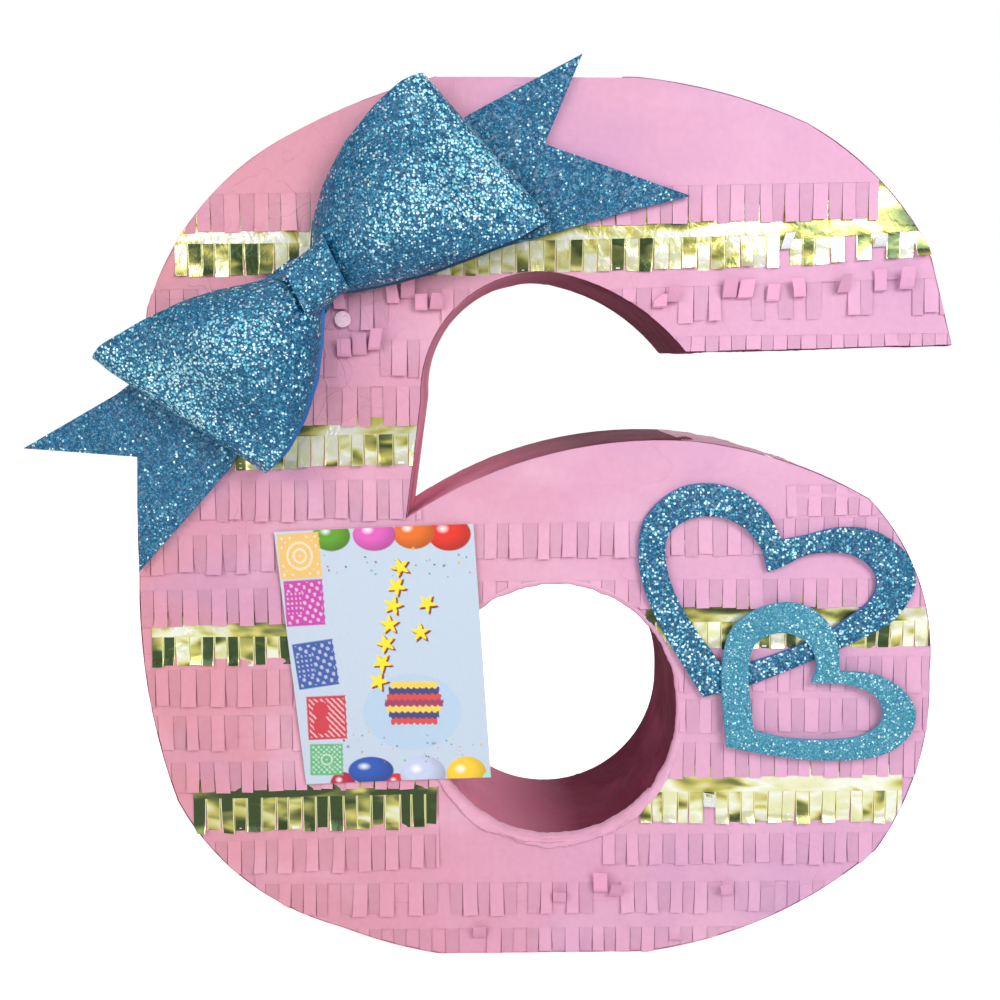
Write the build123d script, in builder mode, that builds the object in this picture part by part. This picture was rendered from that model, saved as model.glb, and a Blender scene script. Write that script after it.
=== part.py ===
"""A party pinata in the shape of the numeral six: a cardboard box covered in crepe paper and foil fringe.

Frame: X to the right, Z up, the decorated front faces -Y. The origin is the middle of the flat underside.
Millimetres throughout.
"""
from math import asin, atan2, ceil, degrees
import os

from build123d import *

os.makedirs("parts", exist_ok=True)

# ---------------------------------------------------------------- driving sizes
body_depth = 100.0  # front cardboard face to back cardboard face
foot_width = 116.0  # flat that it stands on
bowl_left = 233.0  # reach of the bowl left of the foot's middle
bowl_right = 227.0
bowl_height = 307.0
crotch_reach = 79.0  # where the bowl runs into the stem, left of the middle
crotch_drop = 44.0  # below the bowl's top
notch_gap = 51.0  # bowl's top to the arm's underside
arch_rise = 44.0  # arch's crown above the arm's underside
arch_crown_x = 8.0
arm_root = 80.5  # inner corner of the arm's end
arm_reach = 231.5  # outer corner of the arm's end
arm_tilt = 4.0  # rise of the arm's end, corner to corner
arm_height = 150.0  # arm's underside to the top
stem_reach = 231.0
top_flat_left = 60.0
top_flat_right = 50.0

hole_radius = 74.0
hole_straight = 8.0  # upright run between the hole's two half rounds
hole_band_below = 70.5
hole_band_right = 146.0

panel = 4.0  # corrugated cardboard of front and back
wall = 3.0  # cardboard strip bent round the edge
side_paper = 0.5
side_paper_gap = 0.3  # loose fit of the paper round the bent cardboard
face_paper = 0.4
rim_fold_width = 6.0
rim_fold = 0.8

top_sheet_drop = 77.5  # plain sheet over the numeral's head
row_count = 16
fringe = 1.2
fringe_inset = 1.5
gold_every = 4

hang_hole_radius = 4.0
hang_hole_spacing = 60.0
hanger_plate_length = 92.0
hanger_plate_width = 40.0
hanger_plate_thickness = 4.0

door_width = 84.0
door_height = 74.0
door_x = -150.0
door_gap = 0.7
door_drop = 16.0  # door's top edge above the arm's underside
tape = 0.2
tape_length = 72.0
tape_width = 12.0
tape_clear = 0.4
tab_width = 18.0
tab_length = 32.0
tab_hold = 16.0
tab = 0.5

glue = 1.0
glue_radius = 4.0
glue_blob_radius = 4.5
glue_blob_offset = (12.0, -22.0)  # from the knot's middle
foam = 2.5
card = 0.3
card_width = 111.0
card_height = 150.0
card_centre = (-91.0, 183.0)
card_tilt = 4.0

large_heart_tip = (93.5, 158.0)
large_heart_tilt = 25.5
large_lobe_radius = 42.0
large_lobe_spread = 38.0
large_lobe_rise = 82.0
large_heart_band = 17.0
small_heart_tip = (107.5, 128.5)
small_heart_tilt = 55.0
small_lobe_radius = 30.0
small_lobe_spread = 27.5
small_lobe_rise = 66.0
small_heart_band = 14.0

knot_centre = (-125.0, 398.0)
knot_length = 27.0
knot_width = 30.0
knot_depth = 25.0
layer_clear = 0.3  # between layers that only lie on each other
pinch_clear = 1.1  # loop's pinched end to the knot, whose sides lie at a small angle to it
loop_length = 116.0
loop_pinch_depth = 13.0
loop_pinch_width = 30.0
loop_depth = 45.0  # at its fullest
loop_full_at = 0.42
loop_full_width = 82.0
loop_fold_radius = 12.0
loop_fold_width = 104.0
upper_loop_angle = 36.5
lower_loop_angle = 224.5
tail_length = 190.0
tail_notch = 46.0
tail_root_width = 32.0
tail_end_width = 94.0
upper_tail_angle = 25.5
lower_tail_angle = 223.5

# ---------------------------------------------------------------- worked out from them
arm_underside = bowl_height + notch_gap
numeral_height = arm_underside + arm_height
card_inset = side_paper + side_paper_gap  # cardboard lies this far inside the papered shape
face = body_depth / 2
paper_face = face + face_paper
fringe_face = paper_face + fringe
decor_face = fringe_face + glue
row_pitch = (numeral_height - top_sheet_drop) / row_count

foot_left = (-foot_width / 2, 0)
foot_right = (foot_width / 2, 0)
heel_right = (foot_right[0] + 0.835 * (bowl_right - foot_right[0]), 0.204 * bowl_height)
belly_right = (bowl_right, 0.554 * bowl_height)
bowl_shoulder = (0.827 * bowl_right, 0.891 * bowl_height)
bowl_crown = (0.382 * bowl_right, bowl_height)
crotch = (-crotch_reach, bowl_height - crotch_drop)
stem_inner = (-crotch_reach + 9, arm_underside - 27)
arch_crown = (arch_crown_x, arm_underside + arch_rise)
arm_inner = (arm_root, arm_underside)
arm_outer = (arm_reach, arm_underside + arm_tilt)
arm_side = (0.935 * arm_reach, arm_underside + 0.385 * arm_height)
arm_shoulder = (0.629 * arm_reach, arm_underside + 0.838 * arm_height)
top_right = (top_flat_right, numeral_height)
top_left = (-top_flat_left, numeral_height)
brow_left = (-0.634 * stem_reach, numeral_height - 0.229 * arm_height)
stem_left = (-0.96 * stem_reach, numeral_height - 0.84 * arm_height)
waist_left = (-0.993 * bowl_left, 0.75 * bowl_height)
hip_left = (-0.917 * bowl_left, 0.313 * bowl_height)
heel_left = (-0.514 * bowl_left, 0.059 * bowl_height)

# Each stretch of the outline: where it ends, and its bulge as a share of its chord, outward positive
outline_stretches = [
    (foot_right, 0),
    (heel_right, 0.078),
    (belly_right, 0.085),
    (bowl_shoulder, 0.108),
    (bowl_crown, 0.05),
    (crotch, 0.085),
    (stem_inner, 0),
    (arch_crown, -0.236),
    (arm_inner, -0.087),
    (arm_outer, 0),
    (arm_side, 0),
    (arm_shoulder, 0.07),
    (top_right, 0.04),
    (top_left, 0),
    (brow_left, 0.032),
    (stem_left, 0.095),
    (waist_left, 0.02),
    (hip_left, 0.046),
    (heel_left, 0.107),
    (foot_left, 0.03),
]

hole_centre = (
    bowl_right - hole_band_right - hole_radius,
    hole_band_below + hole_radius + hole_straight / 2,
)


def at_depth(y):
    """Plane across the numeral at a given y, facing the front."""
    return Plane.XZ.offset(-y)


# ---------------------------------------------------------------- flat shapes shared by many pieces
with BuildSketch() as numeral_shape:
    with BuildLine():
        start = foot_left
        for end, bulge in outline_stretches:
            if bulge:
                chord = (Vector(*end) - Vector(*start)).length
                SagittaArc(start, end, -bulge * chord)
            else:
                Line(start, end)
            start = end
    make_face()


def numeral_inset(inset):
    """The numeral's shape, drawn in by inset all round."""
    with BuildSketch() as shape:
        add(numeral_shape.sketch)
        if inset:
            offset(amount=-inset, kind=Kind.ARC, mode=Mode.REPLACE)
    return shape.sketch


def hole_outset(outset):
    """The bowl's hole, drawn out by outset all round."""
    with BuildSketch() as shape:
        with Locations(hole_centre):
            SlotCenterToCenter(hole_straight, 2 * (hole_radius + outset), rotation=90)
    return shape.sketch


papered = numeral_inset(0)
paper_inside = numeral_inset(side_paper)
cardboard = numeral_inset(card_inset)
cardboard_inside = numeral_inset(card_inset + wall)
fringed = numeral_inset(fringe_inset)

hole_papered = hole_outset(0)
hole_paper_inside = hole_outset(side_paper)
hole_cardboard = hole_outset(card_inset)
hole_cardboard_inside = hole_outset(card_inset + wall)

# ---------------------------------------------------------------- cardboard front and back
door_hinge_z = arm_underside + door_drop
door_centre = (door_x, door_hinge_z - door_gap - door_height / 2)

with BuildPart() as front_panel:
    with BuildSketch(at_depth(-face + panel)):
        add(cardboard)
        add(hole_cardboard, mode=Mode.SUBTRACT)
    extrude(amount=panel)
front_panel.part.label = "front_panel"
export_step(front_panel.part, "parts/front_panel.step")

with BuildPart() as back_panel:
    with BuildSketch(at_depth(face)):
        add(cardboard)
        add(hole_cardboard, mode=Mode.SUBTRACT)
        with Locations(door_centre):
            Rectangle(door_width + 2 * door_gap, door_height + 2 * door_gap, mode=Mode.SUBTRACT)
    extrude(amount=panel)
back_panel.part.label = "back_panel"
export_step(back_panel.part, "parts/back_panel.step")

# ---------------------------------------------------------------- cardboard strips round the edge
margin = 12.0
inside_reach = 60.0  # how far a stretch's bounds reach into the hollow
crotch_inside = (crotch[0] - inside_reach, crotch[1] - inside_reach)
notch_middle = 0.7 * (arm_underside - crotch[1])
notch_mouth = (crotch[0] + notch_middle, crotch[1] + notch_middle)
bowl_above = bowl_height + notch_gap / 2
arm_end_top = arm_outer[1] + card_inset + wall + 1
left_edge = -max(bowl_left, stem_reach) - margin
right_edge = max(bowl_right, arm_reach) + margin
above = numeral_height + margin

# The bounds that cut the strip and the paper round the edge into stretches
edge_stretches = {
    "base": [
        (foot_left[0], -margin),
        (foot_right[0], -margin),
        (foot_right[0], inside_reach),
        (foot_left[0], inside_reach),
    ],
    "bowl_side": [
        (foot_right[0], -margin),
        (right_edge, -margin),
        (right_edge, bowl_above),
        (bowl_crown[0], bowl_above),
        (bowl_crown[0], bowl_height - inside_reach),
        (foot_right[0], inside_reach),
    ],
    "bowl_top": [
        crotch,
        notch_mouth,
        (bowl_crown[0], bowl_above),
        (bowl_crown[0], bowl_height - inside_reach),
        crotch_inside,
    ],
    "notch": [
        crotch,
        crotch_inside,
        (crotch_inside[0], arch_crown[1] + inside_reach / 2),
        (arm_root, arch_crown[1] + inside_reach / 2),
        (arm_root, arm_underside - margin),
        notch_mouth,
    ],
    "arm_end": [
        (arm_root, arm_underside - margin),
        (right_edge, arm_underside - margin),
        (right_edge, arm_end_top),
        (arm_root, arm_end_top),
    ],
    "arm_side": [
        (top_right[0], above),
        (top_right[0], numeral_height - inside_reach / 2),
        (arm_root + inside_reach, arm_end_top),
        (right_edge, arm_end_top),
        (right_edge, above),
    ],
    "top": [
        (top_left[0], numeral_height - inside_reach / 2),
        (top_right[0], numeral_height - inside_reach / 2),
        (top_right[0], above),
        (top_left[0], above),
    ],
    "shoulder": [
        (top_left[0], above),
        (left_edge, above),
        (left_edge, stem_left[1]),
        (stem_left[0] + inside_reach, stem_left[1]),
        (top_left[0], numeral_height - inside_reach / 2),
    ],
    "left_side": [
        (left_edge, stem_left[1]),
        (left_edge, -margin),
        (foot_left[0], -margin),
        (foot_left[0], inside_reach),
        crotch_inside,
        (stem_left[0] + inside_reach, stem_left[1]),
    ],
}

hang_holes = [
    ((top_left[0] + top_right[0]) / 2 - hang_hole_spacing / 2, 0),
    ((top_left[0] + top_right[0]) / 2 + hang_hole_spacing / 2, 0),
]

for stretch, bounds in edge_stretches.items():
    with BuildPart() as edge_wall:
        with BuildSketch(at_depth(face - panel)):
            add(cardboard)
            add(cardboard_inside, mode=Mode.SUBTRACT)
            with BuildLine():
                Polyline(*bounds, close=True)
            make_face(mode=Mode.INTERSECT)
        extrude(amount=body_depth - 2 * panel)
        if stretch == "top":
            with Locations(Plane.XY.offset(numeral_height)):
                with Locations(*hang_holes):
                    Hole(hang_hole_radius)
    edge_wall.part.label = f"{stretch}_wall"
    export_step(edge_wall.part, f"parts/{stretch}_wall.step")

    with BuildPart() as edge_paper:
        with BuildSketch(at_depth(face)):
            add(papered)
            add(paper_inside, mode=Mode.SUBTRACT)
            with BuildLine():
                Polyline(*bounds, close=True)
            make_face(mode=Mode.INTERSECT)
        extrude(amount=body_depth)
        if stretch == "top":
            with Locations(Plane.XY.offset(numeral_height)):
                with Locations(*hang_holes):
                    Hole(hang_hole_radius + side_paper)
    edge_paper.part.label = f"{stretch}_paper"
    export_step(edge_paper.part, f"parts/{stretch}_paper.step")

with BuildPart() as hanger_plate:
    with BuildSketch(Plane.XY.offset(numeral_height - card_inset - wall - hanger_plate_thickness)):
        with Locations(((top_left[0] + top_right[0]) / 2, 0)):
            Rectangle(hanger_plate_length, hanger_plate_width)
        with Locations(*hang_holes):
            Circle(hang_hole_radius, mode=Mode.SUBTRACT)
    extrude(amount=hanger_plate_thickness)
hanger_plate.part.label = "hanger_plate"
export_step(hanger_plate.part, "parts/hanger_plate.step")

# ---------------------------------------------------------------- lining of the bowl's hole
with BuildPart() as hole_wall:
    with BuildSketch(at_depth(face - panel)):
        add(hole_cardboard_inside)
        add(hole_cardboard, mode=Mode.SUBTRACT)
    extrude(amount=body_depth - 2 * panel)
hole_wall.part.label = "hole_wall"
export_step(hole_wall.part, "parts/hole_wall.step")

with BuildPart() as hole_paper:
    with BuildSketch(at_depth(face)):
        add(hole_paper_inside)
        add(hole_papered, mode=Mode.SUBTRACT)
    extrude(amount=body_depth)
hole_paper.part.label = "hole_paper"
export_step(hole_paper.part, "parts/hole_paper.step")

with BuildPart() as hole_rim_fold:
    with BuildSketch(at_depth(-paper_face)):
        add(hole_outset(rim_fold_width))
        add(hole_papered, mode=Mode.SUBTRACT)
    extrude(amount=rim_fold)
hole_rim_fold.part.label = "hole_rim_fold"
export_step(hole_rim_fold.part, "parts/hole_rim_fold.step")

# ---------------------------------------------------------------- paper on front and back
with BuildPart() as front_paper:
    with BuildSketch(at_depth(-face)):
        add(papered)
        add(hole_papered, mode=Mode.SUBTRACT)
    extrude(amount=face_paper)
front_paper.part.label = "front_paper"
export_step(front_paper.part, "parts/front_paper.step")

with BuildPart() as back_paper:
    with BuildSketch(at_depth(paper_face)):
        add(papered)
        add(hole_papered, mode=Mode.SUBTRACT)
        with Locations(door_centre):
            Rectangle(door_width + 2 * door_gap, door_height + 2 * door_gap, mode=Mode.SUBTRACT)
    extrude(amount=face_paper)
back_paper.part.label = "back_paper"
export_step(back_paper.part, "parts/back_paper.step")

# ---------------------------------------------------------------- fringe, row by row from the head down
sheet_bottom = row_pitch * ceil(crotch[1] / row_pitch)
bowl_sheet_bounds = [
    (crotch[0] + sheet_bottom - crotch[1], sheet_bottom),
    notch_mouth,
    (right_edge, bowl_above),
    (right_edge, sheet_bottom),
]
fringe_hole = hole_outset(rim_fold_width + side_paper_gap)

with BuildPart() as bowl_sheet:
    with BuildSketch(at_depth(-paper_face)):
        add(fringed)
        with BuildLine():
            Polyline(*bowl_sheet_bounds, close=True)
        make_face(mode=Mode.INTERSECT)
    extrude(amount=fringe)
bowl_sheet.part.label = "bowl_sheet"
export_step(bowl_sheet.part, "parts/bowl_sheet.step")

for row in range(row_count + 1):
    row_bottom = (row_count - row) * row_pitch
    row_top = row_bottom + (row_pitch if row else top_sheet_drop)
    with BuildPart() as fringe_row:
        with BuildSketch(at_depth(-paper_face)):
            add(fringed)
            with BuildLine():
                Polyline(
                    (left_edge, row_bottom),
                    (right_edge, row_bottom),
                    (right_edge, row_top),
                    (left_edge, row_top),
                    close=True,
                )
            make_face(mode=Mode.INTERSECT)
            add(fringe_hole, mode=Mode.SUBTRACT)
            if row_bottom > sheet_bottom - 1 and row_bottom < bowl_above:
                with BuildLine():
                    Polyline(*bowl_sheet_bounds, close=True)
                make_face(mode=Mode.SUBTRACT)
        extrude(amount=fringe)
    row_name = f"{'gold' if row % gold_every == 1 else 'pink'}_fringe_{row:02d}"
    fringe_row.part.label = row_name
    export_step(fringe_row.part, f"parts/{row_name}.step")

# ---------------------------------------------------------------- fill door in the back of the stem
with BuildPart() as fill_door:
    with BuildSketch(at_depth(face)):
        with Locations(door_centre):
            Rectangle(door_width, door_height)
    extrude(amount=panel)
fill_door.part.label = "fill_door"
export_step(fill_door.part, "parts/fill_door.step")

with BuildPart() as fill_door_paper:
    with BuildSketch(at_depth(paper_face)):
        with Locations(door_centre):
            Rectangle(door_width, door_height)
    extrude(amount=face_paper)
fill_door_paper.part.label = "fill_door_paper"
export_step(fill_door_paper.part, "parts/fill_door_paper.step")

with BuildPart() as door_tape_upper:
    with BuildSketch(at_depth(paper_face + tape)):
        with Locations((door_x, door_hinge_z + tape_clear)):
            Rectangle(tape_length, tape_width, align=(Align.CENTER, Align.MIN))
    extrude(amount=tape)
door_tape_upper.part.label = "door_tape_upper"
export_step(door_tape_upper.part, "parts/door_tape_upper.step")

with BuildPart() as door_tape_lower:
    with BuildSketch(at_depth(paper_face + tape)):
        with Locations((door_x, door_hinge_z - tape_clear)):
            Rectangle(tape_length, tape_width, align=(Align.CENTER, Align.MAX))
    extrude(amount=tape)
door_tape_lower.part.label = "door_tape_lower"
export_step(door_tape_lower.part, "parts/door_tape_lower.step")

with BuildPart() as door_pull_tab:
    with BuildSketch(at_depth(paper_face + tab)):
        with Locations((door_x, door_centre[1] - door_height / 2 + tab_hold)):
            Rectangle(tab_width, tab_length, align=(Align.CENTER, Align.MAX))
    extrude(amount=tab)
    fillet(door_pull_tab.edges().filter_by(Axis.Y).group_by(Axis.Z)[0], tab_width / 3)
door_pull_tab.part.label = "door_pull_tab"
export_step(door_pull_tab.part, "parts/door_pull_tab.step")


# ---------------------------------------------------------------- foam hearts
def heart_shape(radius, spread, rise):
    """A heart with its tip at the origin: two round lobes and two straight sides that meet them smoothly."""
    reach = Vector(spread, rise).length
    side_angle = degrees(atan2(rise, spread) - asin(radius / reach))
    touch = Vector((reach**2 - radius**2) ** 0.5, 0).rotate(Axis.Z, side_angle)
    dip = (0, rise + (radius**2 - spread**2) ** 0.5)
    lobe_side = Vector(spread, rise) + Vector(radius, 0).rotate(Axis.Z, 60)
    with BuildSketch() as shape:
        with BuildLine():
            Line((0, 0), touch)
            ThreePointArc(touch, lobe_side, dip)
            mirror(about=Plane.YZ)
        make_face()
    return shape.sketch


def open_heart(shape, band):
    """The heart cut out along its middle, so that only a band is left."""
    with BuildSketch() as outline:
        add(shape)
        with BuildSketch(mode=Mode.PRIVATE) as inside:
            add(shape)
            offset(amount=-band, mode=Mode.REPLACE)
        add(inside.sketch, mode=Mode.SUBTRACT)
    return outline.sketch


large_heart_shape = open_heart(
    heart_shape(large_lobe_radius, large_lobe_spread, large_lobe_rise), large_heart_band
)
with BuildPart() as large_heart:
    with BuildSketch(at_depth(-decor_face)):
        with Locations(Location(large_heart_tip, -large_heart_tilt)):
            add(large_heart_shape)
    extrude(amount=foam)
large_heart.part.label = "large_heart"
export_step(large_heart.part, "parts/large_heart.step")

small_heart_face = decor_face + foam + layer_clear
small_heart_shape = open_heart(
    heart_shape(small_lobe_radius, small_lobe_spread, small_lobe_rise), small_heart_band
)
with BuildPart() as small_heart:
    with BuildSketch(at_depth(-small_heart_face)):
        with Locations(Location(small_heart_tip, -small_heart_tilt)):
            add(small_heart_shape)
    extrude(amount=foam)
small_heart.part.label = "small_heart"
export_step(small_heart.part, "parts/small_heart.step")

# ---------------------------------------------------------------- party card
with BuildPart() as party_card:
    with BuildSketch(at_depth(-decor_face)):
        with Locations(card_centre):
            Rectangle(card_width, card_height, rotation=card_tilt)
    extrude(amount=card)
party_card.part.label = "party_card"
export_step(party_card.part, "parts/party_card.step")

# ---------------------------------------------------------------- foam bow
bow_face = decor_face + foam + layer_clear  # back of the loops and the knot, just clear of the tails


def from_knot(angle, along, across=0.0):
    """The point that lies along and across a direction from the middle of the knot."""
    point = Vector(along, across).rotate(Axis.Z, angle)
    return (knot_centre[0] + point.X, knot_centre[1] + point.Y)


tails = {"upper_tail": upper_tail_angle, "lower_tail": lower_tail_angle}
for name, angle in tails.items():
    with BuildPart() as tail:
        with BuildSketch(at_depth(-decor_face)):
            with BuildLine():
                Polyline(
                    from_knot(angle, knot_length / 4, -tail_root_width / 2),
                    from_knot(angle, tail_length, -tail_end_width / 2),
                    from_knot(angle, tail_length - tail_notch),
                    from_knot(angle, tail_length, tail_end_width / 2),
                    from_knot(angle, knot_length / 4, tail_root_width / 2),
                    close=True,
                )
            make_face()
        extrude(amount=foam)
    tail.part.label = f"bow_{name}"
    export_step(tail.part, f"parts/bow_{name}.step")

loops = {"upper_loop": upper_loop_angle, "lower_loop": lower_loop_angle}
loop_start = knot_length / 2 + pinch_clear
loop_full = loop_start + loop_full_at * (loop_length - loop_start)
fold_start = loop_length - loop_fold_radius
for name, angle in loops.items():
    along = Vector(1, 0).rotate(Axis.Z, angle)
    side_on = Plane(
        origin=(knot_centre[0], -bow_face, knot_centre[1]),
        x_dir=(along.X, 0, along.Y),
        z_dir=(along.Y, 0, -along.X),
    )
    with BuildPart() as loop:
        # the sheet seen along its edge: out over the front, round the fold and back flat
        with BuildSketch(side_on):
            with BuildLine():
                Line((loop_start, 0), (loop_start, loop_pinch_depth))
                ThreePointArc(
                    (loop_start, loop_pinch_depth), (loop_full, loop_depth), (fold_start, 2 * loop_fold_radius)
                )
                ThreePointArc(
                    (fold_start, 2 * loop_fold_radius), (loop_length, loop_fold_radius), (fold_start, 0)
                )
                Line((fold_start, 0), (loop_start, 0))
            make_face()
            offset(amount=-foam, mode=Mode.SUBTRACT)
        extrude(amount=loop_fold_width, both=True)
        # the fan that the sheet is cut to, seen from the front
        with BuildSketch(at_depth(-bow_face)):
            with BuildLine():
                for side in (-1, 1):
                    ThreePointArc(
                        from_knot(angle, loop_start, side * loop_pinch_width / 2),
                        from_knot(angle, loop_full, side * loop_full_width / 2),
                        from_knot(angle, loop_length, side * loop_fold_width / 2),
                    )
                for distance, width in ((loop_start, loop_pinch_width), (loop_length, loop_fold_width)):
                    Line(from_knot(angle, distance, -width / 2), from_knot(angle, distance, width / 2))
            make_face()
        extrude(amount=loop_depth + foam, mode=Mode.INTERSECT)
    loop.part.label = f"bow_{name}"
    export_step(loop.part, f"parts/bow_{name}.step")

with BuildPart() as bow_knot:
    with BuildSketch(at_depth(-bow_face)):
        with Locations(Location(knot_centre, (upper_loop_angle + lower_loop_angle - 180) / 2)):
            RectangleRounded(knot_length, knot_width, knot_length / 6)
    extrude(amount=knot_depth)
    fillet(bow_knot.faces().sort_by(Axis.Y)[0].edges(), knot_length / 6)
bow_knot.part.label = "bow_knot"
export_step(bow_knot.part, "parts/bow_knot.step")

# ---------------------------------------------------------------- hot glue under the decorations
card_dabs = [(-0.36, -0.4), (-0.36, 0.4), (0.05, 0.41), (0.0, -0.41)]  # shares of the card's width and height
dabs = []
for share_x, share_z in card_dabs:
    on_card = Vector(share_x * card_width, share_z * card_height).rotate(Axis.Z, card_tilt)
    dabs.append((card_centre[0] + on_card.X, card_centre[1] + on_card.Y, glue))
hearts = [
    (large_heart_tip, large_heart_tilt, large_lobe_radius, large_lobe_spread, large_lobe_rise, large_heart_band),
    (small_heart_tip, small_heart_tilt, small_lobe_radius, small_lobe_spread, small_lobe_rise, small_heart_band),
]
heart_backs = [decor_face, small_heart_face]
for (tip, tilt, radius, spread, rise, band), back in zip(hearts, heart_backs):
    for across, up in ((spread + radius - band / 2, rise), (-spread - radius + band / 2, rise), (0, 0.8 * band)):
        on_heart = Vector(across, up).rotate(Axis.Z, -tilt)
        dabs.append((tip[0] + on_heart.X, tip[1] + on_heart.Y, back - fringe_face))
for angle in tails.values():
    for share in (0.15, 0.4):
        dabs.append((*from_knot(angle, share * tail_length), glue))

with BuildPart() as glue_dabs:
    for x, z, reach in dabs:
        with BuildSketch(at_depth(-fringe_face)):
            with Locations((x, z)):
                Circle(glue_radius)
        extrude(amount=reach)
    with BuildSketch(at_depth(-fringe_face)):
        with Locations((knot_centre[0] + glue_blob_offset[0], knot_centre[1] + glue_blob_offset[1])):
            Circle(glue_blob_radius)
    extrude(amount=glue_blob_radius / 2)
    fillet(glue_dabs.faces().sort_by(Axis.Y)[0].edges(), glue_blob_radius / 3)
glue_dabs.part.label = "glue_dabs"
export_step(glue_dabs.part, "parts/glue_dabs.step")
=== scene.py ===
"""Dressed model of a party pinata in the shape of the numeral six.

A cardboard box stands on its flat foot, covered in crepe paper and foil fringe, with a glitter foam bow,
two foam hearts and a printed card on its front, and a small filling door in its back.
Lengths are millimetres until a piece is mounted, when it is scaled to metres.
"""
from __future__ import annotations

import logging
import math
import random
from dataclasses import dataclass, field
from enum import Enum
from itertools import repeat
from typing import Iterable, Sequence

import bmesh
import bpy
import numpy as np
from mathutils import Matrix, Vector
from mathutils import noise as perlin

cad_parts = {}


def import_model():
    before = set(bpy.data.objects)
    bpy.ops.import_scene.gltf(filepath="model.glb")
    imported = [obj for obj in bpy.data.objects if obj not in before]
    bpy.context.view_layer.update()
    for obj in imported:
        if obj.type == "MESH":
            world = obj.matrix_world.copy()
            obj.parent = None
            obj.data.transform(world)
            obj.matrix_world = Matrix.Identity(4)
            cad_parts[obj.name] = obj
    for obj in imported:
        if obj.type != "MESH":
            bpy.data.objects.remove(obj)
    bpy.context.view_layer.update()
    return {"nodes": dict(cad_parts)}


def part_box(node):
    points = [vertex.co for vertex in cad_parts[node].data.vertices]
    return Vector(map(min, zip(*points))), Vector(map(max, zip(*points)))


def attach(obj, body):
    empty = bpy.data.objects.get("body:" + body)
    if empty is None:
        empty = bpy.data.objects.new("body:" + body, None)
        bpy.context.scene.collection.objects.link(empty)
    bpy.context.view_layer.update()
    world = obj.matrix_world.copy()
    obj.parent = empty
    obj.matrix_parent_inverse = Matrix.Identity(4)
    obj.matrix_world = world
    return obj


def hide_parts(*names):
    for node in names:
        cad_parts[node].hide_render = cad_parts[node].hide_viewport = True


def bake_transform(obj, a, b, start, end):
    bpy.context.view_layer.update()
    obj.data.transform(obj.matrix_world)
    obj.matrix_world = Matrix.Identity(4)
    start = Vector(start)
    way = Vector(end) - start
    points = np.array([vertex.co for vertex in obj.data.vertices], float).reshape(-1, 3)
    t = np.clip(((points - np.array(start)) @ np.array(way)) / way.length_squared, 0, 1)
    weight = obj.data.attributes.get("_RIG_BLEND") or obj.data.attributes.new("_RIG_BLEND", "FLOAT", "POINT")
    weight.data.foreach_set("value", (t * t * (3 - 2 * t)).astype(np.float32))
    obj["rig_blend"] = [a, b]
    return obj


log = logging.getLogger("pinata")

MM = 0.001
FRONT, BACK = -50.4, 50.4  # outer faces of the paper on the cardboard, along y
PLAIN_CELL = 4.0  # cell of the large plain sheets
SAME = 1e-4  # points nearer than this are one
ON_LINE = 1e-3  # points nearer a line than this are on it
WHITE = (1.0, 1.0, 1.0, 1.0)
Colour = tuple[float, float, float, float]
Point = tuple[float, float]
Place = tuple[float, float, float]
Socket = bpy.types.NodeSocket
Sheet = bmesh.types.BMesh


def srgb(red: int, green: int, blue: int) -> Colour:
    """Changes a display colour to a linear one.

    Args:
        red: from 0 to 255.
        green: from 0 to 255.
        blue: from 0 to 255.

    Returns:
        The linear colour, opaque.
    """
    channels = [c / 255 for c in (red, green, blue)]
    linear = [c / 12.92 if c <= 0.04045 else ((c + 0.055) / 1.055) ** 2.4 for c in channels]
    return (linear[0], linear[1], linear[2], 1.0)


def smooth(low: float, high: float, value: float) -> float:
    """Soft step from 0 at low to 1 at high."""
    t = min(1.0, max(0.0, (value - low) / (high - low)))
    return t * t * (3 - 2 * t)


def rumple(x: float, y: float, seed: float) -> float:
    """Smooth random value from about -1 to 1 at a place."""
    return perlin.noise(Vector((x, y, seed * 7.31)))


def crease(x: float, y: float, seed: float, sharp: float = 6.0) -> float:
    """Ridge of a fold line: 1 on it, and 0 a little away from it."""
    return max(0.0, 1.0 - sharp * abs(rumple(x, y, seed)))


def spline(points: Sequence[Point], step: float) -> list[Point]:
    """Smooth open curve through the points.

    Args:
        points: places that the curve passes.
        step: distance between the curve's own points.

    Returns:
        The curve's points, ends included.
    """
    path = [Vector(p) for p in points]
    path = [2 * path[0] - path[1]] + path + [2 * path[-1] - path[-2]]
    curve: list[Point] = []
    for i in range(1, len(path) - 2):
        a, b, c, d = path[i - 1 : i + 3]
        count = max(1, round((c - b).length / step))
        for k in range(count):
            t = k / count
            square, cube = 2 * a - 5 * b + 4 * c - d, 3 * b - a - 3 * c + d
            p = 0.5 * (2 * b + (c - a) * t + square * t**2 + cube * t**3)
            curve.append((p.x, p.y))
    curve.append((path[-2].x, path[-2].y))
    return curve


def evenly(points: Sequence[Point], count: int) -> np.ndarray:
    """Resamples a line.

    Args:
        points: the line's points.
        count: how many to give back.

    Returns:
        Points at equal distances along it, ends included.
    """
    line = np.array(points, float)
    run = np.concatenate([[0], np.cumsum(np.linalg.norm(np.diff(line, axis=0), axis=1))])
    at = np.linspace(0, run[-1], count)
    return np.stack([np.interp(at, run, line[:, 0]), np.interp(at, run, line[:, 1])], axis=1)


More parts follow.
